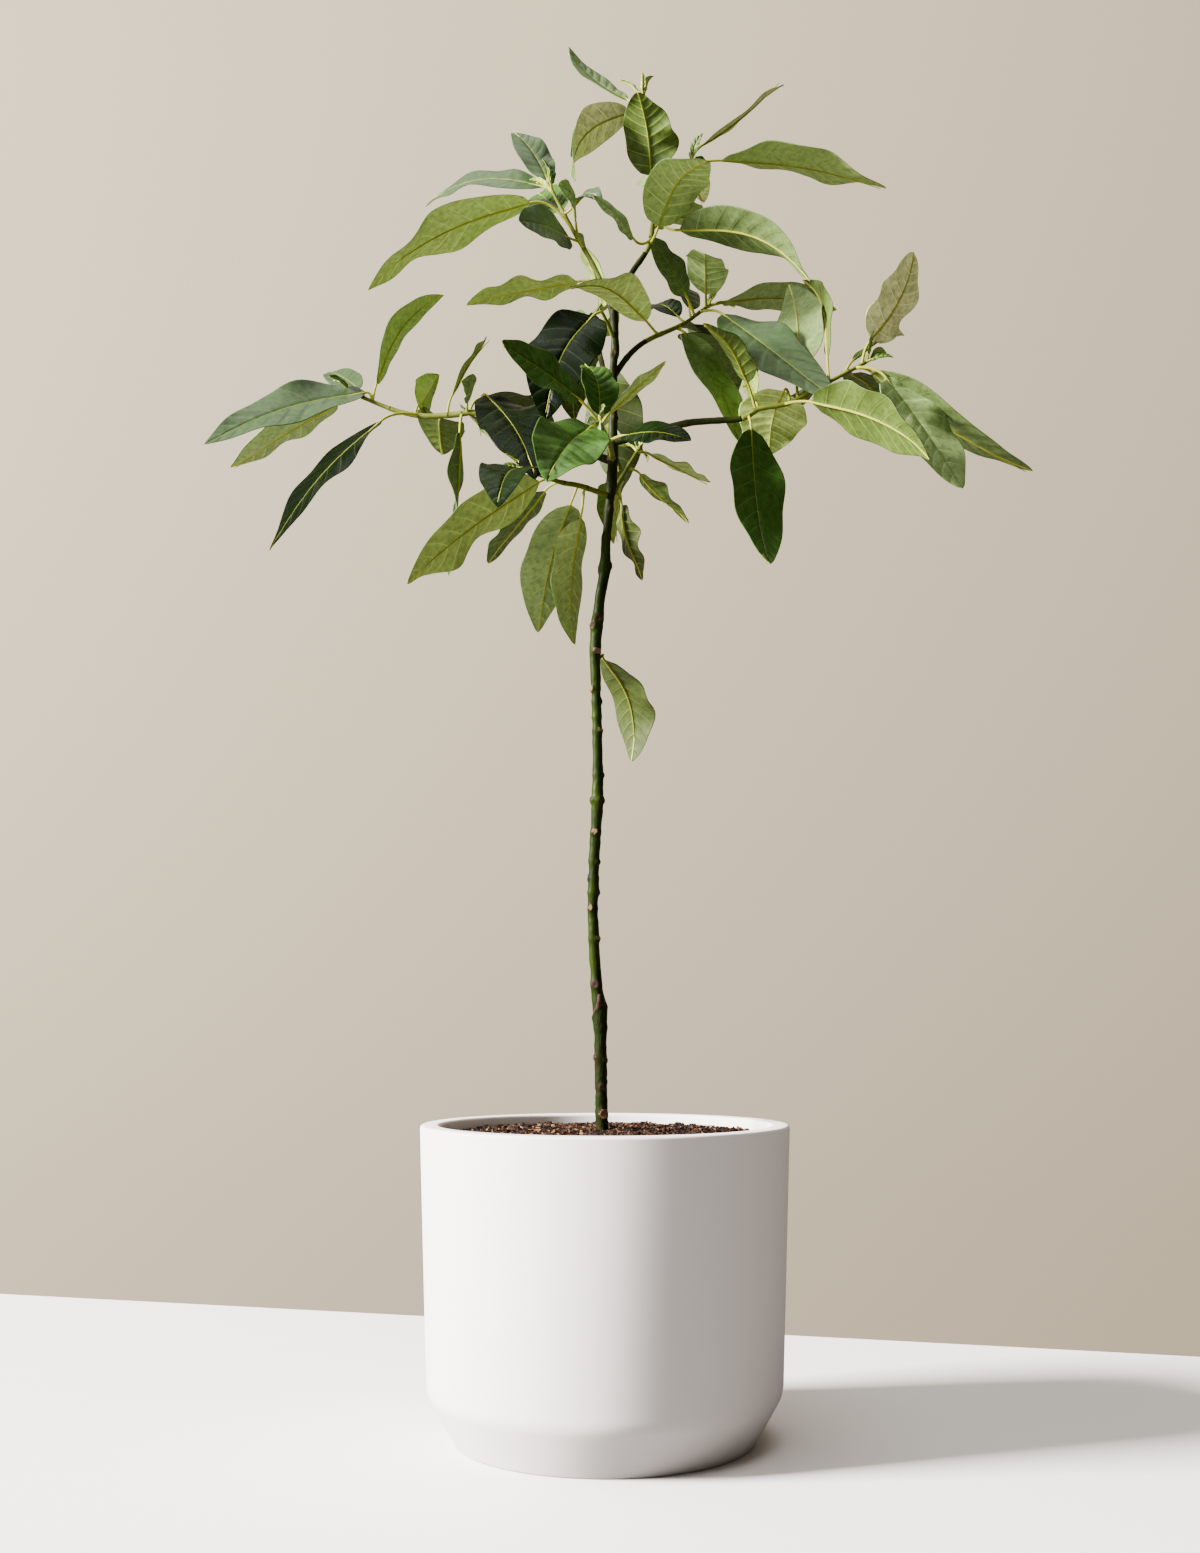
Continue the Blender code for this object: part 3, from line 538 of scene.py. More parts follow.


# %% [markdown]
# ### The leaf tints
# An avocado leaf is glossy and dark above and dull and pale below, with yellow-green veins.
# Old leaves are near black, young ones bright. Each tint is a pair of plain base colours. These
# colours also hold painted light and shade. A leaf that the lamps light strongly has a darker
# tint, and a shaded leaf a brighter one. The bright undersides of the lighter tints, most of all
# "pale" and "lime", paint the light that shines through a thin leaf. The paler "sheen" tops and
# the bluish "blue" tops paint part of the sheen of a glossy upper side.

# %% Leaf materials
# for each tint, the upper side and the underside, with painted light and shade in their brightness
TINTS_WITH_PAINTED_LIGHT = {
    "bottle": ((0.002, 0.005, 0.001), (0.042, 0.063, 0.008)),
    "dark": ((0.003, 0.010, 0.001), (0.072, 0.115, 0.014)),
    "green": ((0.038, 0.090, 0.013), (0.104, 0.158, 0.040)),
    "sheen": ((0.108, 0.184, 0.042), (0.350, 0.490, 0.090)),
    "blue": ((0.029, 0.058, 0.015), (0.205, 0.310, 0.044)),
    "fresh": ((0.240, 0.355, 0.112), (0.308, 0.435, 0.127)),
    "light": ((0.024, 0.072, 0.006), (0.377, 0.522, 0.130)),
    "pale": ((0.040, 0.105, 0.010), (0.500, 0.667, 0.160)),
    "lime": ((0.060, 0.140, 0.010), (0.950, 1.000, 0.400)),
}
GLOSSY = ("bottle", "dark", "green")
SMOOTH_LOOK = dict(rough=(0.22, 0.36), specular=0.035)
DULL_LOOK = dict(rough=(0.42, 0.55), specular=0.2)
VEIN_GAIN_ABOVE = 1.5
VEIN_GAIN_BELOW = 1.35
VEIN_ADDS_ABOVE = (0.012, 0.018, 0.002)
VEIN_ADDS_BELOW = (0.080, 0.085, 0.012)
PATCH_SHADE = 0.5
UPPER = []
LOWER = []
for tint, (above, below) in TINTS_WITH_PAINTED_LIGHT.items():
    above_vein = [VEIN_GAIN_ABOVE * value + more for value, more in zip(above, VEIN_ADDS_ABOVE)]
    below_vein = [VEIN_GAIN_BELOW * value + more for value, more in zip(below, VEIN_ADDS_BELOW)]
    darker = [value * PATCH_SHADE for value in above]
    duller = [value * PATCH_SHADE for value in below]
    look = SMOOTH_LOOK if tint in GLOSSY else DULL_LOOK
    UPPER.append(surface("leaf above " + tint, above, darker, 210, amount=0.9, bump=0.5,
                         depth=0.3, **look))
    UPPER.append(surface("vein above " + tint, above_vein, above, 90, rough=(0.4, 0.5),
                         specular=0.12))
    LOWER.append(surface("leaf below " + tint, below, duller, 230, amount=0.9,
                         rough=(0.55, 0.68), bump=0.45, depth=0.25, specular=0.2))
    LOWER.append(surface("vein below " + tint, below_vein, below, 60, amount=0.5,
                         rough=(0.5, 0.6), specular=0.2))
UPPER.append(surface("midrib above", (0.17, 0.20, 0.014), (0.10, 0.12, 0.008), 120,
                     rough=(0.4, 0.5), specular=0.1))
LOWER.append(surface("midrib below", (0.50, 0.46, 0.04), (0.36, 0.36, 0.025), 120,
                     rough=(0.45, 0.55), specular=0.25))
MIDRIB_SLOT = len(UPPER) - 1
STALK = surface("green twig", (0.095, 0.115, 0.006), (0.050, 0.060, 0.004), 120, rough=(0.5, 0.6),
                specular=0.15)
RIB = surface("yellow stalk", (0.31, 0.32, 0.026), (0.20, 0.21, 0.015), 120, rough=(0.5, 0.6),
              specular=0.15)
print("leaf materials:", len(UPPER) + len(LOWER) + 2)

# %% Bark, pot and potting mix materials
BARK = surface("green bark", (0.017, 0.031, 0.001), (0.004, 0.007, 0.001), 120, amount=0.9,
               rough=(0.4, 0.6), bump=0.5, depth=0.5, stretch=(1, 1, 0.35), specular=0.05)
TOP_BARK = surface("young bark", (0.015, 0.021, 0.002), (0.008, 0.008, 0.001), 130, amount=0.9,
                   rough=(0.45, 0.58), bump=0.4, depth=0.4, stretch=(1, 1, 0.4), specular=0.05)
ROOTSTOCK = surface("old bark", (0.005, 0.014, 0.001), (0.015, 0.009, 0.003), 170, amount=0.95,
                    rough=(0.5, 0.75), bump=0.8, depth=0.8, stretch=(1, 1, 0.4), specular=0.04)
SCAR = surface("brown scar", (0.022, 0.010, 0.008), (0.060, 0.030, 0.020), 300, rough=(0.7, 0.85),
               specular=0.08)
PALE_SCAR = surface("pale scar", (0.20, 0.105, 0.060), (0.06, 0.028, 0.018), 400,
                    rough=(0.7, 0.85), specular=0.1)
WHITE = surface("matt white glaze", (0.94, 0.88, 0.84), (0.91, 0.85, 0.81), 6, amount=0.5,
                rough=(0.5, 0.56), bump=0.05, depth=0.1, specular=0.3)
SOIL = surface("potting mix", (0.012, 0.006, 0.004), (0.006, 0.004, 0.003), 200,
               rough=(0.85, 0.95), bump=0.8, depth=1.0, specular=0.1)
CHIPS = [
    surface("dark chip", (0.018, 0.008, 0.005), (0.008, 0.004, 0.003), 400, rough=(0.75, 0.9),
            specular=0.15),
    surface("brown chip", (0.060, 0.023, 0.011), (0.028, 0.011, 0.006), 400, rough=(0.75, 0.9),
            specular=0.15),
    surface("tan chip", (0.32, 0.16, 0.062), (0.14, 0.060, 0.024), 400, rough=(0.7, 0.85),
            specular=0.15),
]

# %% The order of the finishes on the trunk, the boughs and the twigs
TRUNK_FINISHES = [BARK, ROOTSTOCK, SCAR, PALE_SCAR, TOP_BARK]
GREEN_BARK, OLD_BARK, BROWN_SCAR, LIGHT_SCAR, YOUNG_BARK = range(len(TRUNK_FINISHES))
BOUGH_FINISHES = [TOP_BARK, SCAR]
TWIG_FINISHES = [STALK, SCAR, RIB]
LIMB_BARK, LIMB_SCAR, TWIG_RIB = range(len(TWIG_FINISHES))
print("bark materials:", len(TRUNK_FINISHES), "twig materials:", len(TWIG_FINISHES))

# %% [markdown]
# ## Mesh helpers
# Leaves, twigs and the trunk all begin as a flat grid. Each corner is then put where a small
# function says, which bends the grid into a blade or rolls it into a rod.

# %% Bend a grid and gather pieces
SEAM_WELD = 1e-7


def bent_grid(rows, columns, place, paint):
    """A grid whose corners go where place says and whose faces take paint's material."""
    work = bmesh.new()
    bmesh.ops.create_grid(work, x_segments=rows, y_segments=columns, size=0.5)
    for face in work.faces:
        middle = face.calc_center_median()
        face.material_index = paint(int((middle.x + 0.5) * rows), int((middle.y + 0.5) * columns))
        face.smooth = True
    for corner in work.verts:
        row = round((corner.co.x + 0.5) * rows)
        column = round((corner.co.y + 0.5) * columns)
        corner.co = place(row, column)
    return work


def mesh_from(name, work):
    """Turn a bmesh into a mesh and free it."""
    mesh = bpy.data.meshes.new(name)
    work.to_mesh(mesh)
    work.free()
    return mesh


def gather(total, work):
    """Add one bmesh to another."""
    mesh = mesh_from("passing", work)
    total.from_mesh(mesh)
    bpy.data.meshes.remove(mesh)


def add_piece(name, mesh, surfaces):
    """Put a mesh with its materials into the scene as one object."""
    for made in surfaces:
        mesh.materials.append(made)
    piece = bpy.data.objects.new(name, mesh)
    bpy.context.scene.collection.objects.link(piece)
    return piece


def finish_piece(name, work, surfaces, slot, *nodes):
    """Make the finished piece, which rides on the frame and stands for its nodes."""
    piece = add_piece(name, mesh_from(name, work), surfaces)
    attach(piece, "root")
    if nodes:
        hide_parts(*nodes)
    return piece


def close_and_turn_out(work):
    """Weld the seam, close the ends and point the faces outwards."""
    bmesh.ops.remove_doubles(work, verts=work.verts, dist=SEAM_WELD)
    open_edges = [edge for edge in work.edges if edge.is_boundary]
    bmesh.ops.holes_fill(work, edges=open_edges, sides=0)
    bmesh.ops.recalc_face_normals(work, faces=work.faces)


# %% Roll a grid into a rod
def frames_along(path):
    """The centre and two cross directions at each point of a path, without any twist."""
    headings = [(b - a).normalized() for a, b in zip(path, path[1:])]
    headings.append(headings[-1])
    across = headings[0].orthogonal().normalized()
    frames = []
    for before, heading, centre in zip([headings[0]] + headings, headings, path):
        across = before.rotation_difference(heading) @ across
        frames.append((centre, across, heading.cross(across)))
    return frames


def one_finish(number):
    """A paint that gives every face the same material."""
    return lambda row, column: number


def rod(path, radii, sides, paint, relief=lambda row, angle: 0.0):
    """A rod along a path, with its own radius at each point and a relief round it."""
    frames = frames_along(path)

    def place(row, column):
        angle = math.tau * (column % sides) / sides
        centre, across, beside = frames[row]
        out = across * math.cos(angle) + beside * math.sin(angle)
        return centre + out * (radii[row] + relief(row, angle))

    work = bent_grid(len(path) - 1, sides, place, paint)
    close_and_turn_out(work)
    return work


# %% [markdown]
# ## The pot
# A plain pot is turned, so its profile is spun once about the axis. The lip is a small round,
# and the bend above the foot is softened as on a cast and glazed pot.

# %% Spin the pot
LIP_ROUND = 2.5 * MM
FLOOR_THICKNESS = 20 * MM
INNER_FLOOR_RADIUS = 108 * MM
INNER_WAIST_HEIGHT = 45 * MM
INNER_WAIST_RADIUS = 130 * MM
POT_SPIN_STEPS = 160
POT_WELD = 1e-6
SOFT_BEND = 7 * MM
FOOT_BEND = 1.5 * MM
BEND_SHARES = (0.0, 0.2, 0.4, 0.6, 0.8, 1.0)


def arc(radius, height, size, first, last, steps=6):
    """Points of a round corner between two angles in degrees."""
    points = []
    for step in range(steps + 1):
        angle = math.radians(first + (last - first) * step / steps)
        points.append((radius + size * math.cos(angle), height + size * math.sin(angle)))
    return points


def softened(before, corner, after, size):
    """A corner replaced by a short curve."""
    start = Vector(corner) + (Vector(before) - Vector(corner)).normalized() * size
    end = Vector(corner) + (Vector(after) - Vector(corner)).normalized() * size
    middle = Vector(corner)
    return [tuple(start.lerp(middle, t).lerp(middle.lerp(end, t), t)) for t in BEND_SHARES]


lip_height = POT_HEIGHT - LIP_ROUND
rim_side = (RIM_RADIUS, lip_height)
waist = (WAIST_RADIUS, WAIST_HEIGHT)
foot = (FOOT_RADIUS, 0.0)
profile = [(0.0, FLOOR_THICKNESS), (INNER_FLOOR_RADIUS, FLOOR_THICKNESS),
           (INNER_WAIST_RADIUS, INNER_WAIST_HEIGHT)]
profile += arc(RIM_RADIUS - WALL + LIP_ROUND, lip_height, LIP_ROUND, 180, 90)
profile += arc(RIM_RADIUS - LIP_ROUND, lip_height, LIP_ROUND, 90, 0)
profile += softened(rim_side, waist, foot, SOFT_BEND)
profile += softened(waist, foot, (0.0, 0.0), FOOT_BEND)
profile += [(0.0, 0.0)]

pot_work = bmesh.new()
corners = [pot_work.verts.new((radius, 0.0, height)) for radius, height in profile]
for first, second in zip(corners, corners[1:]):
    pot_work.edges.new((first, second))
bmesh.ops.spin(pot_work, geom=pot_work.verts[:] + pot_work.edges[:], cent=(0, 0, 0),
               axis=(0, 0, 1), angle=math.tau, steps=POT_SPIN_STEPS, use_merge=True)
bmesh.ops.remove_doubles(pot_work, verts=pot_work.verts, dist=POT_WELD)
bmesh.ops.recalc_face_normals(pot_work, faces=pot_work.faces)
for face in pot_work.faces:
    face.smooth = True
pot = finish_piece("white_pot", pot_work, [WHITE], "pot", "pot")
print("pot faces:", len(pot.data.polygons))

# %% [markdown]
# ## The potting mix
# The mix is mostly fine bark. The solid mound stays underneath as its dark ground, and some
# thousands of small chips lie over it at random. They are copies of one rough block, written
# as arrays, because so many small things are slow to add one by one.

# %% Give the mound its finish
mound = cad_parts["potting_mix"]
for place in mound.material_slots:
    place.material = SOIL

# %% Sizes of the chips
CHIP_COUNT = 9000
CHIP_CORNERS = 8
CHIP_SEED = 5
CHIP_REACH = RIM_RADIUS - WALL - 3.5 * MM
# shortest, longest and most common length in mm, then the ranges of width and thickness
CHIP_LENGTH = (1.4, 7.0, 2.2)
CHIP_WIDTH = (0.7, 1.9)
CHIP_THICKNESS = (0.5, 1.4)
CHIP_RISE = (-0.6, 0.9)
CHIP_TILT = 0.5
CHIP_ROUGHNESS = (-0.35, 0.2)
LEAST_UPRIGHT = 0.1
HOLLOWS = 3.4 * MM
HOLLOWS_PER_METRE = 70
# dark, brown and tan chips in a hundred
CHIP_MIX = (66, 26, 8)
SOIL_FLAT_RADIUS = 14 * MM
SOIL_MIDDLE_RADIUS = 0.6 * RIM_RADIUS


# %% Scatter the chips
def mound_height(radius):
    """The height of the mound at a distance from the pot's axis."""
    half = (SOIL_LEVEL + SOIL_EDGE) / 2
    if radius < SOIL_FLAT_RADIUS:
        return SOIL_LEVEL
    if radius < SOIL_MIDDLE_RADIUS:
        share = (radius - SOIL_FLAT_RADIUS) / (SOIL_MIDDLE_RADIUS - SOIL_FLAT_RADIUS)
        return SOIL_LEVEL + (half - SOIL_LEVEL) * share
    share = (radius - SOIL_MIDDLE_RADIUS) / (RIM_RADIUS - WALL - SOIL_MIDDLE_RADIUS)
    return half + (SOIL_EDGE - half) * share


chip_draw = random.Random(CHIP_SEED)
block = bmesh.new()
bmesh.ops.create_cube(block, size=1.0)
block_corners = [corner.co.copy() for corner in block.verts]
block_faces = [[corner.index for corner in face.verts] for face in block.faces]
block.free()
chip_points = []
chip_faces = []
chip_kinds = []
for number in range(CHIP_COUNT):
    radius = CHIP_REACH * math.sqrt(chip_draw.random())
    around = chip_draw.uniform(0, math.tau)
    length = chip_draw.triangular(*CHIP_LENGTH) * MM
    width = chip_draw.uniform(*CHIP_WIDTH) * MM
    thick = chip_draw.uniform(*CHIP_THICKNESS) * MM
    turn = Quaternion((0, 0, 1), chip_draw.uniform(0, math.tau))
    tilt = Quaternion((chip_draw.uniform(-1, 1), chip_draw.uniform(-1, 1), LEAST_UPRIGHT),
                      chip_draw.gauss(0, CHIP_TILT))
    centre = Vector((radius * math.cos(around), radius * math.sin(around), 0.0))
    unevenness = HOLLOWS * noise.noise(centre * HOLLOWS_PER_METRE)
    centre.z = mound_height(radius) + unevenness + chip_draw.uniform(*CHIP_RISE) * MM
    for corner in block_corners:
        rough = 1 + chip_draw.uniform(*CHIP_ROUGHNESS)
        shaped = Vector((corner.x * length, corner.y * width, corner.z * thick)) * rough
        chip_points.append(centre + tilt @ (turn @ shaped))
    start = number * CHIP_CORNERS
    chip_faces += [[start + index for index in face] for face in block_faces]
    chip_kinds += chip_draw.choices(range(len(CHIPS)), weights=CHIP_MIX)

chip_mesh = bpy.data.meshes.new("bark_chips")
chip_mesh.from_pydata(chip_points, [], chip_faces)
kinds = [kind for kind in chip_kinds for face in block_faces]
chip_mesh.polygons.foreach_set("material_index", kinds)
chips = add_piece("bark_chips", chip_mesh, CHIPS)
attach(chips, "root")
print("chips:", CHIP_COUNT)

# %% [markdown]
# ## The trunk
# The trunk of a young grafted tree is smooth and green, with a brown scar where each leaf
# fell, and a swelling where the graft was made. Below it the bark is older and browner. The
# relief is in the mesh: a fine grain, a ring at each node and a small collar round each scar.

# %% Scars on the trunk: height in mm, angle from the right in degrees, size in mm, is it pale
SCARS = (
    (668, -85, 2.4, False), (662, -132, 2.1, False), (641, -72, 2.2, True), (611, -150, 1.6, True),
    (601, -10, 1.4, False), (577, -48, 1.5, True), (520, -48, 2.2, False), (520, -165, 1.8, False),
    (494, -100, 1.7, True), (470, -40, 1.5, False), (457, 180, 1.7, False), (445, -20, 1.5, False),
    (432, -115, 1.4, True), (407, -38, 1.7, True), (370, -100, 2.3, False), (311, -150, 1.6, False),
    (308, -40, 1.7, False), (286, -80, 1.9, False), (264, -70, 3.0, True), (708, -170, 2.0, False),
    (712, -20, 1.9, False), (757, -60, 1.5, False), (798, -120, 1.9, True), (832, -50, 1.6, False),
    (646, 70, 2.0, False), (588, 120, 1.8, True), (541, 45, 1.8, False), (486, 95, 1.9, False),
    (421, 60, 1.7, True), (334, 110, 2.2, False), (290, 50, 2.0, False), (735, 100, 1.8, False),
    (778, 60, 1.6, True), (850, 120, 1.6, False), (884, -95, 1.6, False),
)
print("scars:", len(SCARS))

# %% Sizes of the bark's relief, in mm
GRAFT_HEIGHT = 347
GRAFT_ARCH = 7
GRAFT_RISES_TO = (0.6, -0.8)
GRAFT_SEAM = 1.3
GRAFT_RISE = 0.9
GRAFT_WIDTH = 1.8
YOUNG_HEIGHT = 735
TRUNK_STEPS = 24
TRUNK_SIDES = 36
RING_STEP = 1.5
# how often per metre, then how much
FINE_GRAIN = (900, 0.10)
COARSE_GRAIN = (260, 0.16)
LUMPS = (75, 0.7)
GRAIN_STRETCH = 0.25
OLD_GRAIN_GAIN = 2.2
NODE_RISE = 0.38
NODE_WIDTH = 2.4
SCAR_SPREAD = 1.35
SCAR_REACH = 8
SCAR_PAINT_REACH = 6
SCAR_EDGE = 0.12
COLLAR_END = -0.9
COLLAR_AT = 0.15
COLLAR_WIDTH = 0.42
HOLLOW_FROM = 0.3
HOLLOW_DEPTH = 0.35


# %% Build the trunk
def smooth_values(values, steps):
    """Single values, carried along as the smooth curve carries its points."""
    return [value.x for value in smooth([Vector((value, 0, 0)) for value in values], steps)]


def even_path(points, values, step):
    """Resample a path and its values at even steps."""
    lengths = [0.0]
    for a, b in zip(points, points[1:]):
        lengths.append(lengths[-1] + (b - a).length)
    count = max(int(lengths[-1] / step), 2)
    places, taken_values, at = [], [], 0
    for number in range(count + 1):
        target = lengths[-1] * number / count
        while at < len(points) - 2 and lengths[at + 1] < target:
            at += 1
        share = min((target - lengths[at]) / (lengths[at + 1] - lengths[at]), 1.0)
        places.append(points[at].lerp(points[at + 1], share))
        taken_values.append(values[at] + (values[at + 1] - values[at]) * share)
    return places, taken_values


trunk_points = [Vector((lean * MM, 0.0, height * MM)) for height, lean, thick in TRUNK]
trunk_radii = [thick * MM for height, lean, thick in TRUNK]
trunk_path, trunk_size = even_path(smooth(trunk_points, TRUNK_STEPS),
                                   smooth_values(trunk_radii, TRUNK_STEPS), RING_STEP * MM)
trunk_frames = frames_along(trunk_path)


def outwards(row, angle):
    """The direction from the trunk's centre line at an angle of its ring."""
    centre, across, beside = trunk_frames[row]
    return across * math.cos(angle) + beside * math.sin(angle)


def scar_nearness(row, angle, height, side, size):
    """How near a spot of the bark is to a scar: 1 at its centre, 0 at its edge."""
    out = outwards(row, angle)
    turn = math.atan2(out.y, out.x) - math.radians(side)
    turn = math.atan2(math.sin(turn), math.cos(turn))
    around = turn * trunk_size[row] / MM
    along = trunk_path[row].z / MM - height
    return 1 - math.hypot(along, around) / (size * SCAR_SPREAD)


def graft_line(out):
    """The height in mm of the arched seam of the graft on one side of the trunk."""
    right, back = GRAFT_RISES_TO
    return GRAFT_HEIGHT + GRAFT_ARCH * (out.x * right + out.y * back)


def bark_relief(row, angle):
    """Grain, node rings and the collars of scars, in metres."""
    centre = trunk_path[row]
    height = centre.z / MM
    out = outwards(row, angle)
    spot_on_bark = centre + out * trunk_size[row]
    stretched = Vector((spot_on_bark.x, spot_on_bark.y, spot_on_bark.z * GRAIN_STRETCH))
    grain = noise.noise(stretched * FINE_GRAIN[0]) * FINE_GRAIN[1]
    grain += noise.noise(spot_on_bark * COARSE_GRAIN[0]) * COARSE_GRAIN[1]
    if height < GRAFT_HEIGHT:
        grain *= OLD_GRAIN_GAIN
    rise = grain + LUMPS[1] * noise.noise(spot_on_bark * LUMPS[0])
    rise += GRAFT_RISE * math.exp(-((height - graft_line(out)) / GRAFT_WIDTH) ** 2)
    for at, side, size, pale in SCARS:
        if abs(height - at) > SCAR_REACH:
            continue
        rise += NODE_RISE * math.exp(-((height - at) / NODE_WIDTH) ** 2)
        near = scar_nearness(row, angle, at, side, size)
        if near > COLLAR_END:
            collar = math.exp(-((near - COLLAR_AT) / COLLAR_WIDTH) ** 2)
            rise += collar - HOLLOW_DEPTH * max(near - HOLLOW_FROM, 0)
    return rise * MM


def bark_paint(row, column):
    """The material of a face of the trunk."""
    angle = math.tau * (column + 0.5) / TRUNK_SIDES
    height = trunk_path[row].z / MM
    for at, side, size, pale in SCARS:
        if abs(height - at) > SCAR_PAINT_REACH:
            continue
        if scar_nearness(row, angle, at, side, size) > SCAR_EDGE:
            return LIGHT_SCAR if pale else BROWN_SCAR
    seam = height - graft_line(outwards(row, angle))
    if abs(seam) < GRAFT_SEAM:
        return BROWN_SCAR
    if seam < 0:
        return OLD_BARK
    return YOUNG_BARK if height > YOUNG_HEIGHT else GREEN_BARK


trunk_work = rod(trunk_path, trunk_size, TRUNK_SIDES, bark_paint, bark_relief)
print("trunk faces:", len(trunk_work.faces))

# %% Add the short cut stub above the graft
STUB = ((-5.0, -4.0, 351), (-4.6, -7.2, 356), (-4.4, -7.8, 362))
STUB_RADII = (2.6, 1.5)
STUB_STEPS = 4
LIMB_SIDES = 12
stub_points = [Vector((right * MM, back * MM, height * MM)) for right, back, height in STUB]
stub_path = smooth(stub_points, STUB_STEPS)
gather(trunk_work, rod(stub_path, taper(len(stub_path), *STUB_RADII), LIMB_SIDES,
                       one_finish(BROWN_SCAR)))
finish_piece("trunk_bark", trunk_work, TRUNK_FINISHES, "bark", "trunk")

# %% [markdown]
# ## Boughs and twigs
# A bough is green bark near the trunk, and its twig goes on as a greener stem. The twig swells a
# little at even steps, carries a small bud at each leaf root, and ends in a pointed bud when its
# shoot carries three leaves or more.

# %% Sizes of limbs and buds, in mm where they are lengths
LIMB_STEPS = 10
LIMB_RING = 1.6
LIMB_GRAIN = (420, 0.07)
LIMB_NODE_EVERY = 26
LIMB_NODE_SHIFT = 9
LIMB_NODE_AT = 6
LIMB_NODE_SPREAD = 5
LIMB_NODE_RISE = 0.22
LIMB_SCAR_BAND = (5.2, 6.8)
LIMB_SCAR_SHARE = 3
BOUGH_SIDES = 16
BUD_SEAT = 0.4
END_BUD = (5 * MM, 2.4 * MM)
SIDE_BUD = (2.8 * MM, 1.8 * MM)
BUD_CLEARANCE = 1 * MM


# %% Fine limbs
def fine_limb(points, radii, sides, number):
    """A limb with slight nodes and grain along it. number sets where its nodes are."""
    path, size = even_path(smooth(points, LIMB_STEPS), smooth_values(radii, LIMB_STEPS),
                           LIMB_RING * MM)
    frames = frames_along(path)

    def past_node(row):
        return (row * LIMB_RING + LIMB_NODE_SHIFT * number) % LIMB_NODE_EVERY

    def relief(row, angle):
        centre, across, beside = frames[row]
        out = across * math.cos(angle) + beside * math.sin(angle)
        place = (centre + out * size[row]) * LIMB_GRAIN[0] + Vector((number, 0, 0))
        node = math.exp(-(past_node(row) - LIMB_NODE_AT) ** 2 / LIMB_NODE_SPREAD)
        return (LIMB_GRAIN[1] * noise.noise(place) + LIMB_NODE_RISE * node) * MM

    def paint(row, column):
        in_band = LIMB_SCAR_BAND[0] < past_node(row) < LIMB_SCAR_BAND[1]
        on_side = column % sides < sides // LIMB_SCAR_SHARE
        return LIMB_SCAR if in_band and on_side else LIMB_BARK

    return rod(path, size, sides, paint, relief)


def bud(place, heading, length, width):
    """A small pointed bud."""
    work = bmesh.new()
    bmesh.ops.create_uvsphere(work, u_segments=8, v_segments=6, radius=0.5)
    turn = Vector((0, 0, 1)).rotation_difference(heading)
    for corner in work.verts:
        narrow = 1 - max(corner.co.z, 0)
        shaped = Vector((corner.co.x * width * narrow, corner.co.y * width * narrow,
                         (corner.co.z + BUD_SEAT) * length))
        corner.co = place + turn @ shaped
    for face in work.faces:
        face.smooth = True
    return work


# %% [markdown]
# ## The blades
# A blade is a grid with slanting rows, so that some rows lie along the side veins. Those rows
# are narrow, sunk a little and painted as veins, and the blade swells between them. The
# margins fold up and wave. A Solidify modifier gives the blade its thickness, and its
# material offset gives the underside its own colours.

# %% Sizes of the grid and its veins
COLUMN_SHARES = (0.2, 0.4, 0.6, 0.8, 0.965, 1.0)
FIELD_STEPS = (0.0, 0.25, 0.5, 0.75)
FRAME_STEPS = 40
SMALL_LEAF = 45 * MM
VEINS = 8
VEINS_OF_SMALL_LEAF = 4
VEIN_WIDTH = 0.7 * MM
WIDEST_VEIN = 0.2
VEIN_TAPER = 0.6
VEIN_SLANT = 0.16
VEIN_BEND = 1.2
VEIN_DEPTH = 0.25 * MM
VEIN_RISE = 0.7
SWELL = 0.45 * MM
RIB_HALF = 0.55 * MM
RIB_TAPER = 0.75
WIDEST_RIB = 0.5
RIB_DEPTH = 0.35 * MM

# %% Sizes of the blade's outline, folds and waves
BLADE_THICKNESS = 0.45 * MM
LEAST_HALF = 0.35 * MM
ROUNDNESS = 0.95
SLIM_LOSS = 0.85
FULLEST = 0.48
ROUNDNESS_CHANGE = 0.05
TIP_LOSS = 0.38
TIP_POWER = 5
FOLD_CHANGE = (0.2, 1.5)
CUP = (1.0, 1.9)
RUFFLE = 0.19
RUFFLE_RATE = 3.8
RUFFLE_STEP = 9
OTHER_SIDE = 2.0
OTHER_RUFFLE = 5
TIP_CURL = 5 * MM
TIP_CURL_SHARE = 0.06
CURL_START = 0.7
HABITS = 1000


# %% The grid of a blade
def rows_of(length, veins):
    """Shares of the rows, and whether the row after each is a vein."""
    shares, is_vein = [], []
    for number in range(veins + 1):
        start = number / (veins + 1)
        size = 1 / (veins + 1)
        for step in FIELD_STEPS:
            shares.append((start + size * step, step, 0.0))
            is_vein.append(False)
        if number < veins:
            shares.append((start + size, 1.0, min(VEIN_WIDTH / length, size * WIDEST_VEIN)))
            is_vein.append(True)
    shares.append((1.0, 0.0, 0.0))
    return shares, is_vein


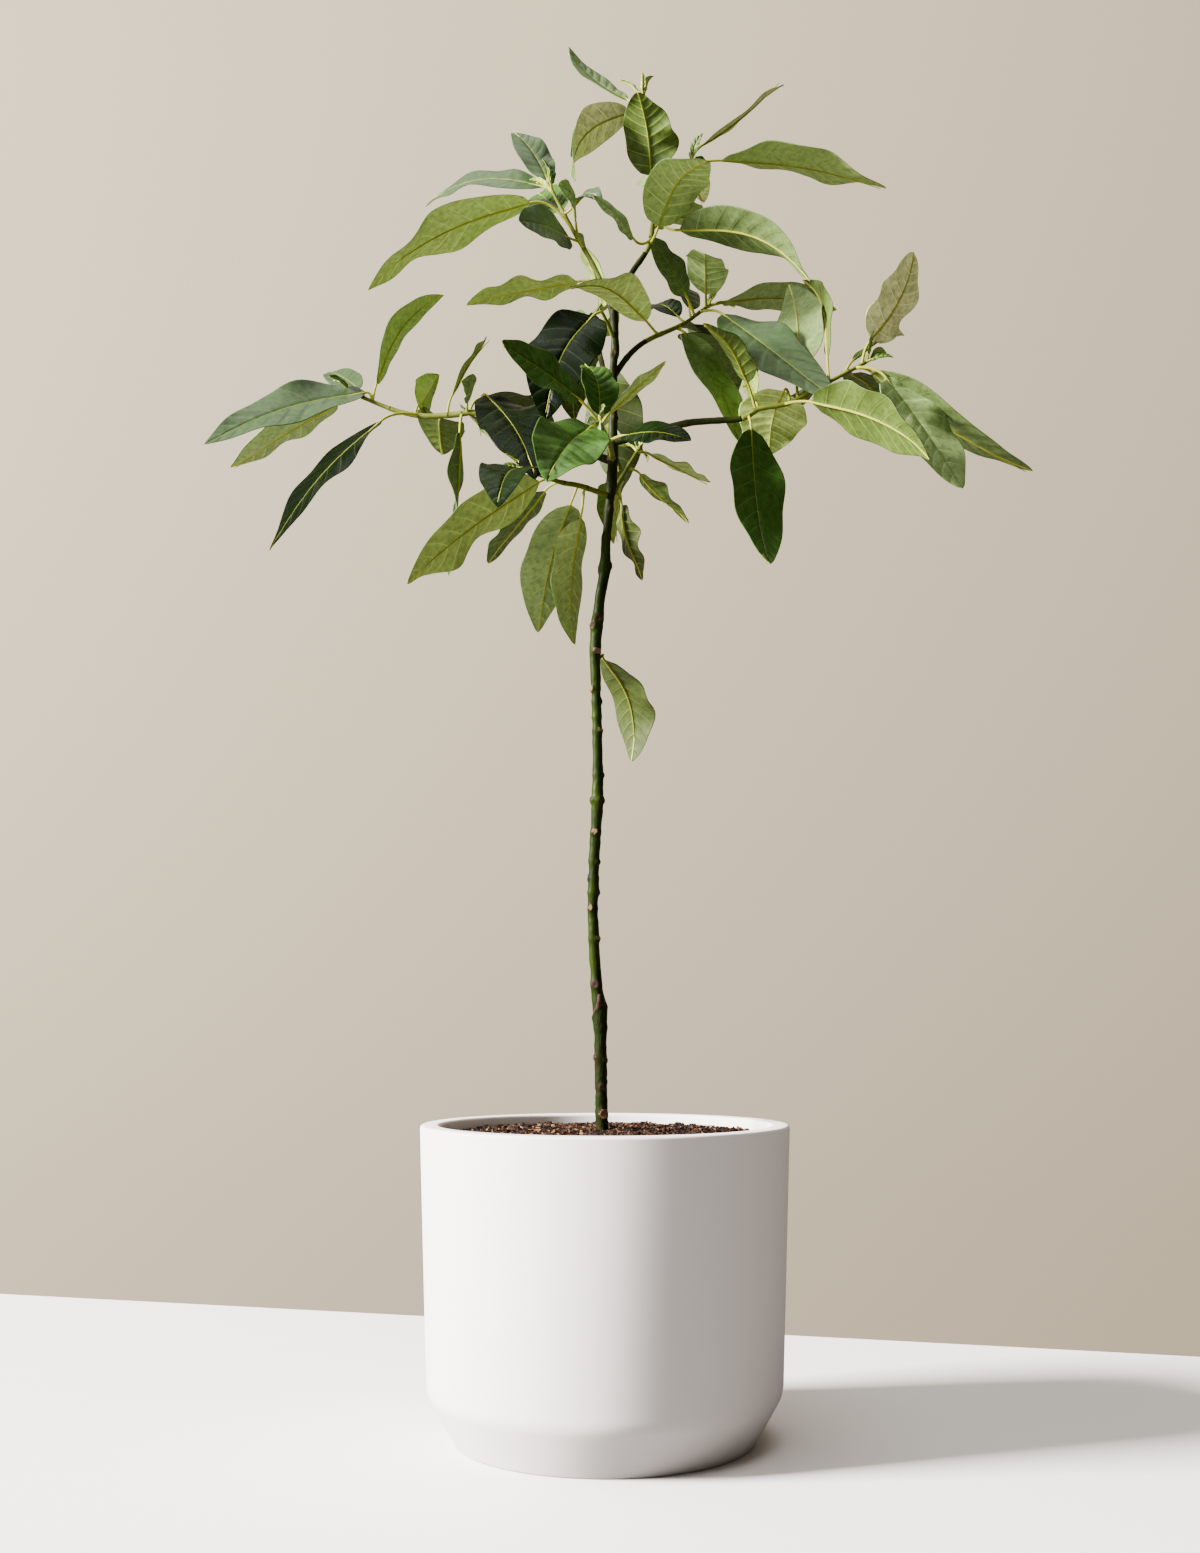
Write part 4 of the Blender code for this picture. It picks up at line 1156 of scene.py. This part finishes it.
def blade(plan, root, slot):
    """The leaf's blade as one bent grid. slot is the first material of its tint."""
    base, tip = midrib(plan, root)
    length = (tip - base).length
    shares, is_vein = rows_of(length, VEINS if length > SMALL_LEAF else VEINS_OF_SMALL_LEAF)
    frames = [blade_point(plan, base, tip, step / FRAME_STEPS) for step in range(FRAME_STEPS + 1)]
    width = plan["width"] * MM
    habit = random.Random(round(plan["phase"] * HABITS))
    fold = FOLD * habit.uniform(*FOLD_CHANGE)
    cup = habit.uniform(*CUP)
    curl = habit.uniform(-1, 1) * min(TIP_CURL, TIP_CURL_SHARE * length)
    roundness = max(ROUNDNESS - SLIM_LOSS * width / length, FULLEST)
    roundness += habit.uniform(-ROUNDNESS_CHANGE, ROUNDNESS_CHANGE)
    sides = [-share for share in reversed(COLUMN_SHARES)]
    sides += [None, 0.0, None, *COLUMN_SHARES]
    middle = len(sides) // 2

    def place(row, column):
        share, field, vein = shares[row]
        offset = sides[column]
        far = abs(offset) if offset is not None else 0.0
        start = share - vein * (1 - VEIN_TAPER * far)
        shifted = start + VEIN_SLANT * far ** VEIN_BEND * math.sin(math.pi * start)
        shifted = min(max(shifted, 0.0), 1.0)
        full = 0.5 * width * math.sin(math.pi * shifted ** SHOULDER) ** roundness
        half = max(full * (1 - TIP_LOSS * shifted ** TIP_POWER), LEAST_HALF)
        rib = min(RIB_HALF * (1 - RIB_TAPER * shifted), half * WIDEST_RIB)
        if offset is None:
            across = rib if column > middle else -rib
        elif offset == 0.0:
            across = 0.0
        else:
            across = math.copysign(rib + (half - rib) * far, offset)
        number = min(int(shifted * FRAME_STEPS), FRAME_STEPS - 1)
        blend = shifted * FRAME_STEPS - number
        before, after = frames[number], frames[number + 1]
        centre = before[0].lerp(after[0], blend)
        side = before[2].lerp(after[2], blend)
        top = before[3].lerp(after[3], blend)
        hand = OTHER_SIDE if across > 0 else 0.0
        wave = WAVE * math.sin(plan["phase"] + hand + WAVES_ALONG * math.tau * shifted)
        ruffle = RUFFLE * noise.noise(Vector((RUFFLE_STEP * plan["phase"], OTHER_RUFFLE * hand,
                                              RUFFLE_RATE * shifted)))
        reach = abs(across) / half
        height = half * (reach ** cup * (fold + wave) + reach ** 2 * 2 * ruffle)
        height += curl * max((shifted - CURL_START) / (1 - CURL_START), 0) ** 2
        height += SWELL * math.sin(math.pi * field) * math.sin(math.pi * min(reach, 1.0))
        if field == 1.0:
            height -= VEIN_DEPTH * (1 - VEIN_RISE * far)
        if offset == 0.0:
            height -= RIB_DEPTH
        return centre + side * across + top * height

    def paint(row, column):
        if column in (middle - 1, middle):
            return MIDRIB_SLOT
        return slot + 1 if is_vein[row] else slot

    return bent_grid(len(shares) - 1, len(sides) - 1, place, paint)


# %% The stalk, which runs on under the blade as its raised midrib
STALK_STATIONS = 10
STALK_SIDES = 8
STALK_FOOT = 1.3
STALK_TAPER = 0.4
RIB_STATIONS = 18
RIB_END = 0.97
RIB_START_RADIUS = 0.85
RIB_RADIUS_LOSS = 0.62
RIB_SINKS_OVER = 8
RIB_SINK = 0.9


def stalk_rod(plan, root):
    """The stalk and the ridge of the midrib as one tapering rod."""
    base, tip = midrib(plan, root)
    along = blade_point(plan, base, tip, 0.0)[1]
    bend = base - along * (base - root).length * STALK_BEND
    path, radii = [], []
    for step in range(STALK_STATIONS):
        share = step / (STALK_STATIONS - 1)
        path.append(root.lerp(bend, share).lerp(bend.lerp(base, share), share))
        radii.append(STALK_RADIUS * (STALK_FOOT - STALK_TAPER * share ** STALK_TAPER))
    for step in range(1, RIB_STATIONS + 1):
        share = RIB_END * step / RIB_STATIONS
        centre, along, side, top = blade_point(plan, base, tip, share)
        radius = STALK_RADIUS * (RIB_START_RADIUS - RIB_RADIUS_LOSS * share)
        sink = min(share * RIB_SINKS_OVER, 1.0) * (BLADE_THICKNESS + RIB_SINK * radius)
        path.append(centre - top * sink)
        radii.append(radius)
    return rod(path, radii, STALK_SIDES, one_finish(TWIG_RIB))


# %% [markdown]
# ### Young leaves
# A few very small leaves stand at the end of every twig of a shoot that carries three leaves or
# more. They follow the same rule with sizes drawn from a seed, and they point on from the twig
# and outwards.

# %% Young leaves at a twig's end
YOUNG_LEAVES = 3
YOUNG_LENGTH = (16, 34)
YOUNG_SPREAD = (0.4, 0.9)
YOUNG_WIDTH = 0.3
YOUNG_TURN = (-60, 70)
YOUNG_ARCH = 0.08
YOUNG_STALK = 0.2
YOUNG_TINTS = ("fresh", "light")


def young_leaves(tip, heading, draw):
    """Small leaves round the end of a twig, as plans with their roots."""
    grown = []
    turn = draw.uniform(0, math.tau)
    for number in range(YOUNG_LEAVES):
        length = draw.uniform(*YOUNG_LENGTH)
        around = heading.orthogonal().normalized()
        around.rotate(Quaternion(heading, turn + number * GOLDEN_ANGLE))
        outwards_on = (heading + around * draw.uniform(*YOUNG_SPREAD)).normalized()
        place = tip + outwards_on * length * MM
        view = in_front_view(place)
        plan = leaf(1.0, view.x / MM, view.y / MM, place.y / MM, YOUNG_WIDTH * length,
                    draw.uniform(*YOUNG_TURN), arch=YOUNG_ARCH * length,
                    stalk=YOUNG_STALK * length, tint=draw.choice(YOUNG_TINTS))
        plan = dict(plan, phase=draw.uniform(0, math.tau), sway=draw.uniform(-SWAY, SWAY))
        grown.append((plan, tip))
    return grown


# %% Dress every shoot
EXTRAS_SEED = 100
TWIG_NUMBER = 3
SIDE_NUMBER = 5
SIDE_TWIG_RADII = (1.7, 1.2)
LEAVES_OF_A_FULL_TWIG = 3
tint_slots = {tint: 2 * number for number, tint in enumerate(TINTS_WITH_PAINTED_LIGHT)}
for number, layout in enumerate(layouts):
    plan = layout["plan"]
    mass = plan["mass"]
    curve = layout["curve"]
    extras = random.Random(EXTRAS_SEED + number)
    blades = bmesh.new()
    twigs = bmesh.new()
    radii = taper(len(curve), *plan["thick"])
    split = plan["ends"] * CURVE_STEPS
    if plan["bough"]:
        bough_work = fine_limb(curve[:split + 1], radii[:split + 1], BOUGH_SIDES, number)
        finish_piece(plan["bough"] + "_bark", bough_work, BOUGH_FINISHES, "bark", plan["bough"])
    gather(twigs, fine_limb(curve[split:], radii[split:], LIMB_SIDES, number + TWIG_NUMBER))
    ends = [curve]
    for places in layout["sides"]:
        path = smooth(places, SIDE_STEPS)
        gather(twigs, fine_limb(path, taper(len(path), *SIDE_TWIG_RADII), LIMB_SIDES,
                                number + SIDE_NUMBER))
        ends.append(path)
    grown = list(layout["grown"])
    if len(grown) >= LEAVES_OF_A_FULL_TWIG:
        for path in ends:
            heading = (path[-1] - path[-2]).normalized()
            gather(twigs, bud(path[-1], heading, *END_BUD))
            grown += young_leaves(path[-1], heading, extras)
    for leaf_plan, root in grown:
        gather(blades, blade(leaf_plan, root, tint_slots[leaf_plan["tint"]]))
        gather(twigs, stalk_rod(leaf_plan, root))
        base = midrib(leaf_plan, root)[0]
        lean = ((base - root).normalized() + Vector((0, 0, 1))).normalized()
        gather(twigs, bud(root + lean * BUD_CLEARANCE, lean, *SIDE_BUD))
    leaves = finish_piece(mass + "_blades", blades, UPPER + LOWER, "leaves", mass)
    thicken = leaves.modifiers.new("Thickness", "SOLIDIFY")
    thicken.thickness = BLADE_THICKNESS
    thicken.offset = -1.0
    thicken.material_offset = len(UPPER)
    thicken.material_offset_rim = 0
    finish_piece(mass + "_twigs", twigs, TWIG_FINISHES, "leaves")
    print(mass, "leaves:", len(grown), "blade faces:", len(leaves.data.polygons))

# %% [markdown]
# ## The studio
# The plant stands on a pale table before a plain wall, both turned a little, in soft light
# from the left. The wall stands well behind the table's edge, so that no shadow of the crown
# falls on it, and it lets the camera see through its back, so that the plant can be looked at
# from every side.

# %% Finishes of the table and the wall
def plain(name, colour, roughness):
    """A plain material without any pattern."""
    made = bpy.data.materials.new(name)
    made.use_nodes = True
    shader = made.node_tree.nodes["Principled BSDF"]
    shader.inputs["Base Color"].default_value = (*colour, 1)
    shader.inputs["Roughness"].default_value = roughness
    return made


def dim_bounce(made, share):
    """Let a backdrop throw only a share of its light on the plant."""
    nodes = made.node_tree.nodes
    link = made.node_tree.links.new
    shader = nodes["Principled BSDF"]
    bright = tuple(shader.inputs["Base Color"].default_value)
    path = nodes.new("ShaderNodeLightPath")
    colour = nodes.new("ShaderNodeMix")
    colour.data_type = "RGBA"
    colour.inputs["A"].default_value = (*[value * share for value in bright[:3]], 1)
    colour.inputs["B"].default_value = bright
    link(path.outputs["Is Camera Ray"], colour.inputs["Factor"])
    link(colour.outputs["Result"], shader.inputs["Base Color"])


def clear_from_behind(made):
    """Let the camera see through the back of a material's faces."""
    nodes = made.node_tree.nodes
    link = made.node_tree.links.new
    see_through = nodes.new("ShaderNodeBsdfTransparent")
    which_side = nodes.new("ShaderNodeNewGeometry")
    both = nodes.new("ShaderNodeMixShader")
    link(which_side.outputs["Backfacing"], both.inputs["Fac"])
    link(nodes["Principled BSDF"].outputs["BSDF"], both.inputs[1])
    link(see_through.outputs["BSDF"], both.inputs[2])
    link(both.outputs["Shader"], nodes["Material Output"].inputs["Surface"])


TABLE_BOUNCE = 0.2
WALL_BOUNCE = 0.4
TABLE = plain("pale table", (0.92, 0.88, 0.865), 0.7)
WALL_PAINT = plain("warm grey wall", (0.174, 0.144, 0.096), 0.85)
dim_bounce(TABLE, TABLE_BOUNCE)
dim_bounce(WALL_PAINT, WALL_BOUNCE)
clear_from_behind(WALL_PAINT)

# %% Table and wall, in metres
EDGE_LEFT = Vector((-0.748, 0.701, 0))
EDGE_RIGHT = Vector((0.600, 0.322, 0))
EDGE_REACH = 3.0
TABLE_REACH = 8
WALL_DISTANCE = 1.2
WALL_BOTTOM = -1.5
WALL_TOP = 4.0


def staged(name, corners, made):
    """A flat backdrop piece that faces where its corners turn anticlockwise."""
    work = bmesh.new()
    work.faces.new([work.verts.new(corner) for corner in corners])
    piece = add_piece(name, mesh_from(name, work), [made])


along_edge = (EDGE_RIGHT - EDGE_LEFT).normalized()
left_end = EDGE_LEFT - along_edge * EDGE_REACH
right_end = EDGE_RIGHT + along_edge * EDGE_REACH
away = Vector((-along_edge.y, along_edge.x, 0)) * WALL_DISTANCE
low = away + Vector((0, 0, WALL_BOTTOM))
high = away + Vector((0, 0, WALL_TOP))
staged("wall", (left_end + low, right_end + low, right_end + high, left_end + high), WALL_PAINT)
staged("table", ((-TABLE_REACH, -TABLE_REACH, 0), (TABLE_REACH, -TABLE_REACH, 0), right_end,
                 left_end), TABLE)
print("wall behind the edge by:", WALL_DISTANCE)

# %% Light
ROOM_COLOUR = (1.0, 0.91, 0.83, 1)
ROOM_STRENGTH = 0.045
# name, place, what it points at, size in metres, power in watts and colour
LAMPS = (
    ("window", (-7.25, -1.8, 3.85), (0, 0, 0.4), 2.0, 6250, (1.0, 0.975, 0.95)),
    ("ceiling", (-0.3, -0.3, 3.0), (0, 0, 0.5), 2.4, 78, (1.0, 0.97, 0.94)),
)


def panel(name, place, target, size, power, colour):
    """A square soft light that looks at a target."""
    lamp = bpy.data.lights.new(name, "AREA")
    lamp.shape = "SQUARE"
    lamp.size = size
    lamp.energy = power
    lamp.color = colour
    piece = bpy.data.objects.new(name, lamp)
    piece.location = place
    piece.rotation_euler = (Vector(target) - Vector(place)).to_track_quat("-Z", "Y").to_euler()
    bpy.context.scene.collection.objects.link(piece)


world = bpy.data.worlds.new("soft room")
bpy.context.scene.world = world
world.use_nodes = True
room = world.node_tree.nodes["Background"].inputs
room["Color"].default_value = ROOM_COLOUR
room["Strength"].default_value = ROOM_STRENGTH
for lamp in LAMPS:
    panel(*lamp)
print("lamps:", len(LAMPS))

# %% [markdown]
# ## The camera
# The camera looks level, and its frame is moved up by the lens shift, so that upright lines
# stay upright in the picture.

# %% Camera
SENSOR = 36
LENS = 38.735
SHIFT_RIGHT = -0.0032
SHIFT_UP = 0.1529
camera_data = bpy.data.cameras.new("camera")
camera_data.sensor_width = SENSOR
camera_data.lens = LENS
camera_data.shift_x = SHIFT_RIGHT
camera_data.shift_y = SHIFT_UP
camera = bpy.data.objects.new("camera", camera_data)
camera.location = (0, -EYE_DISTANCE, EYE_HEIGHT)
camera.rotation_euler = (math.radians(90), 0, 0)
bpy.context.scene.collection.objects.link(camera)
bpy.context.scene.camera = camera
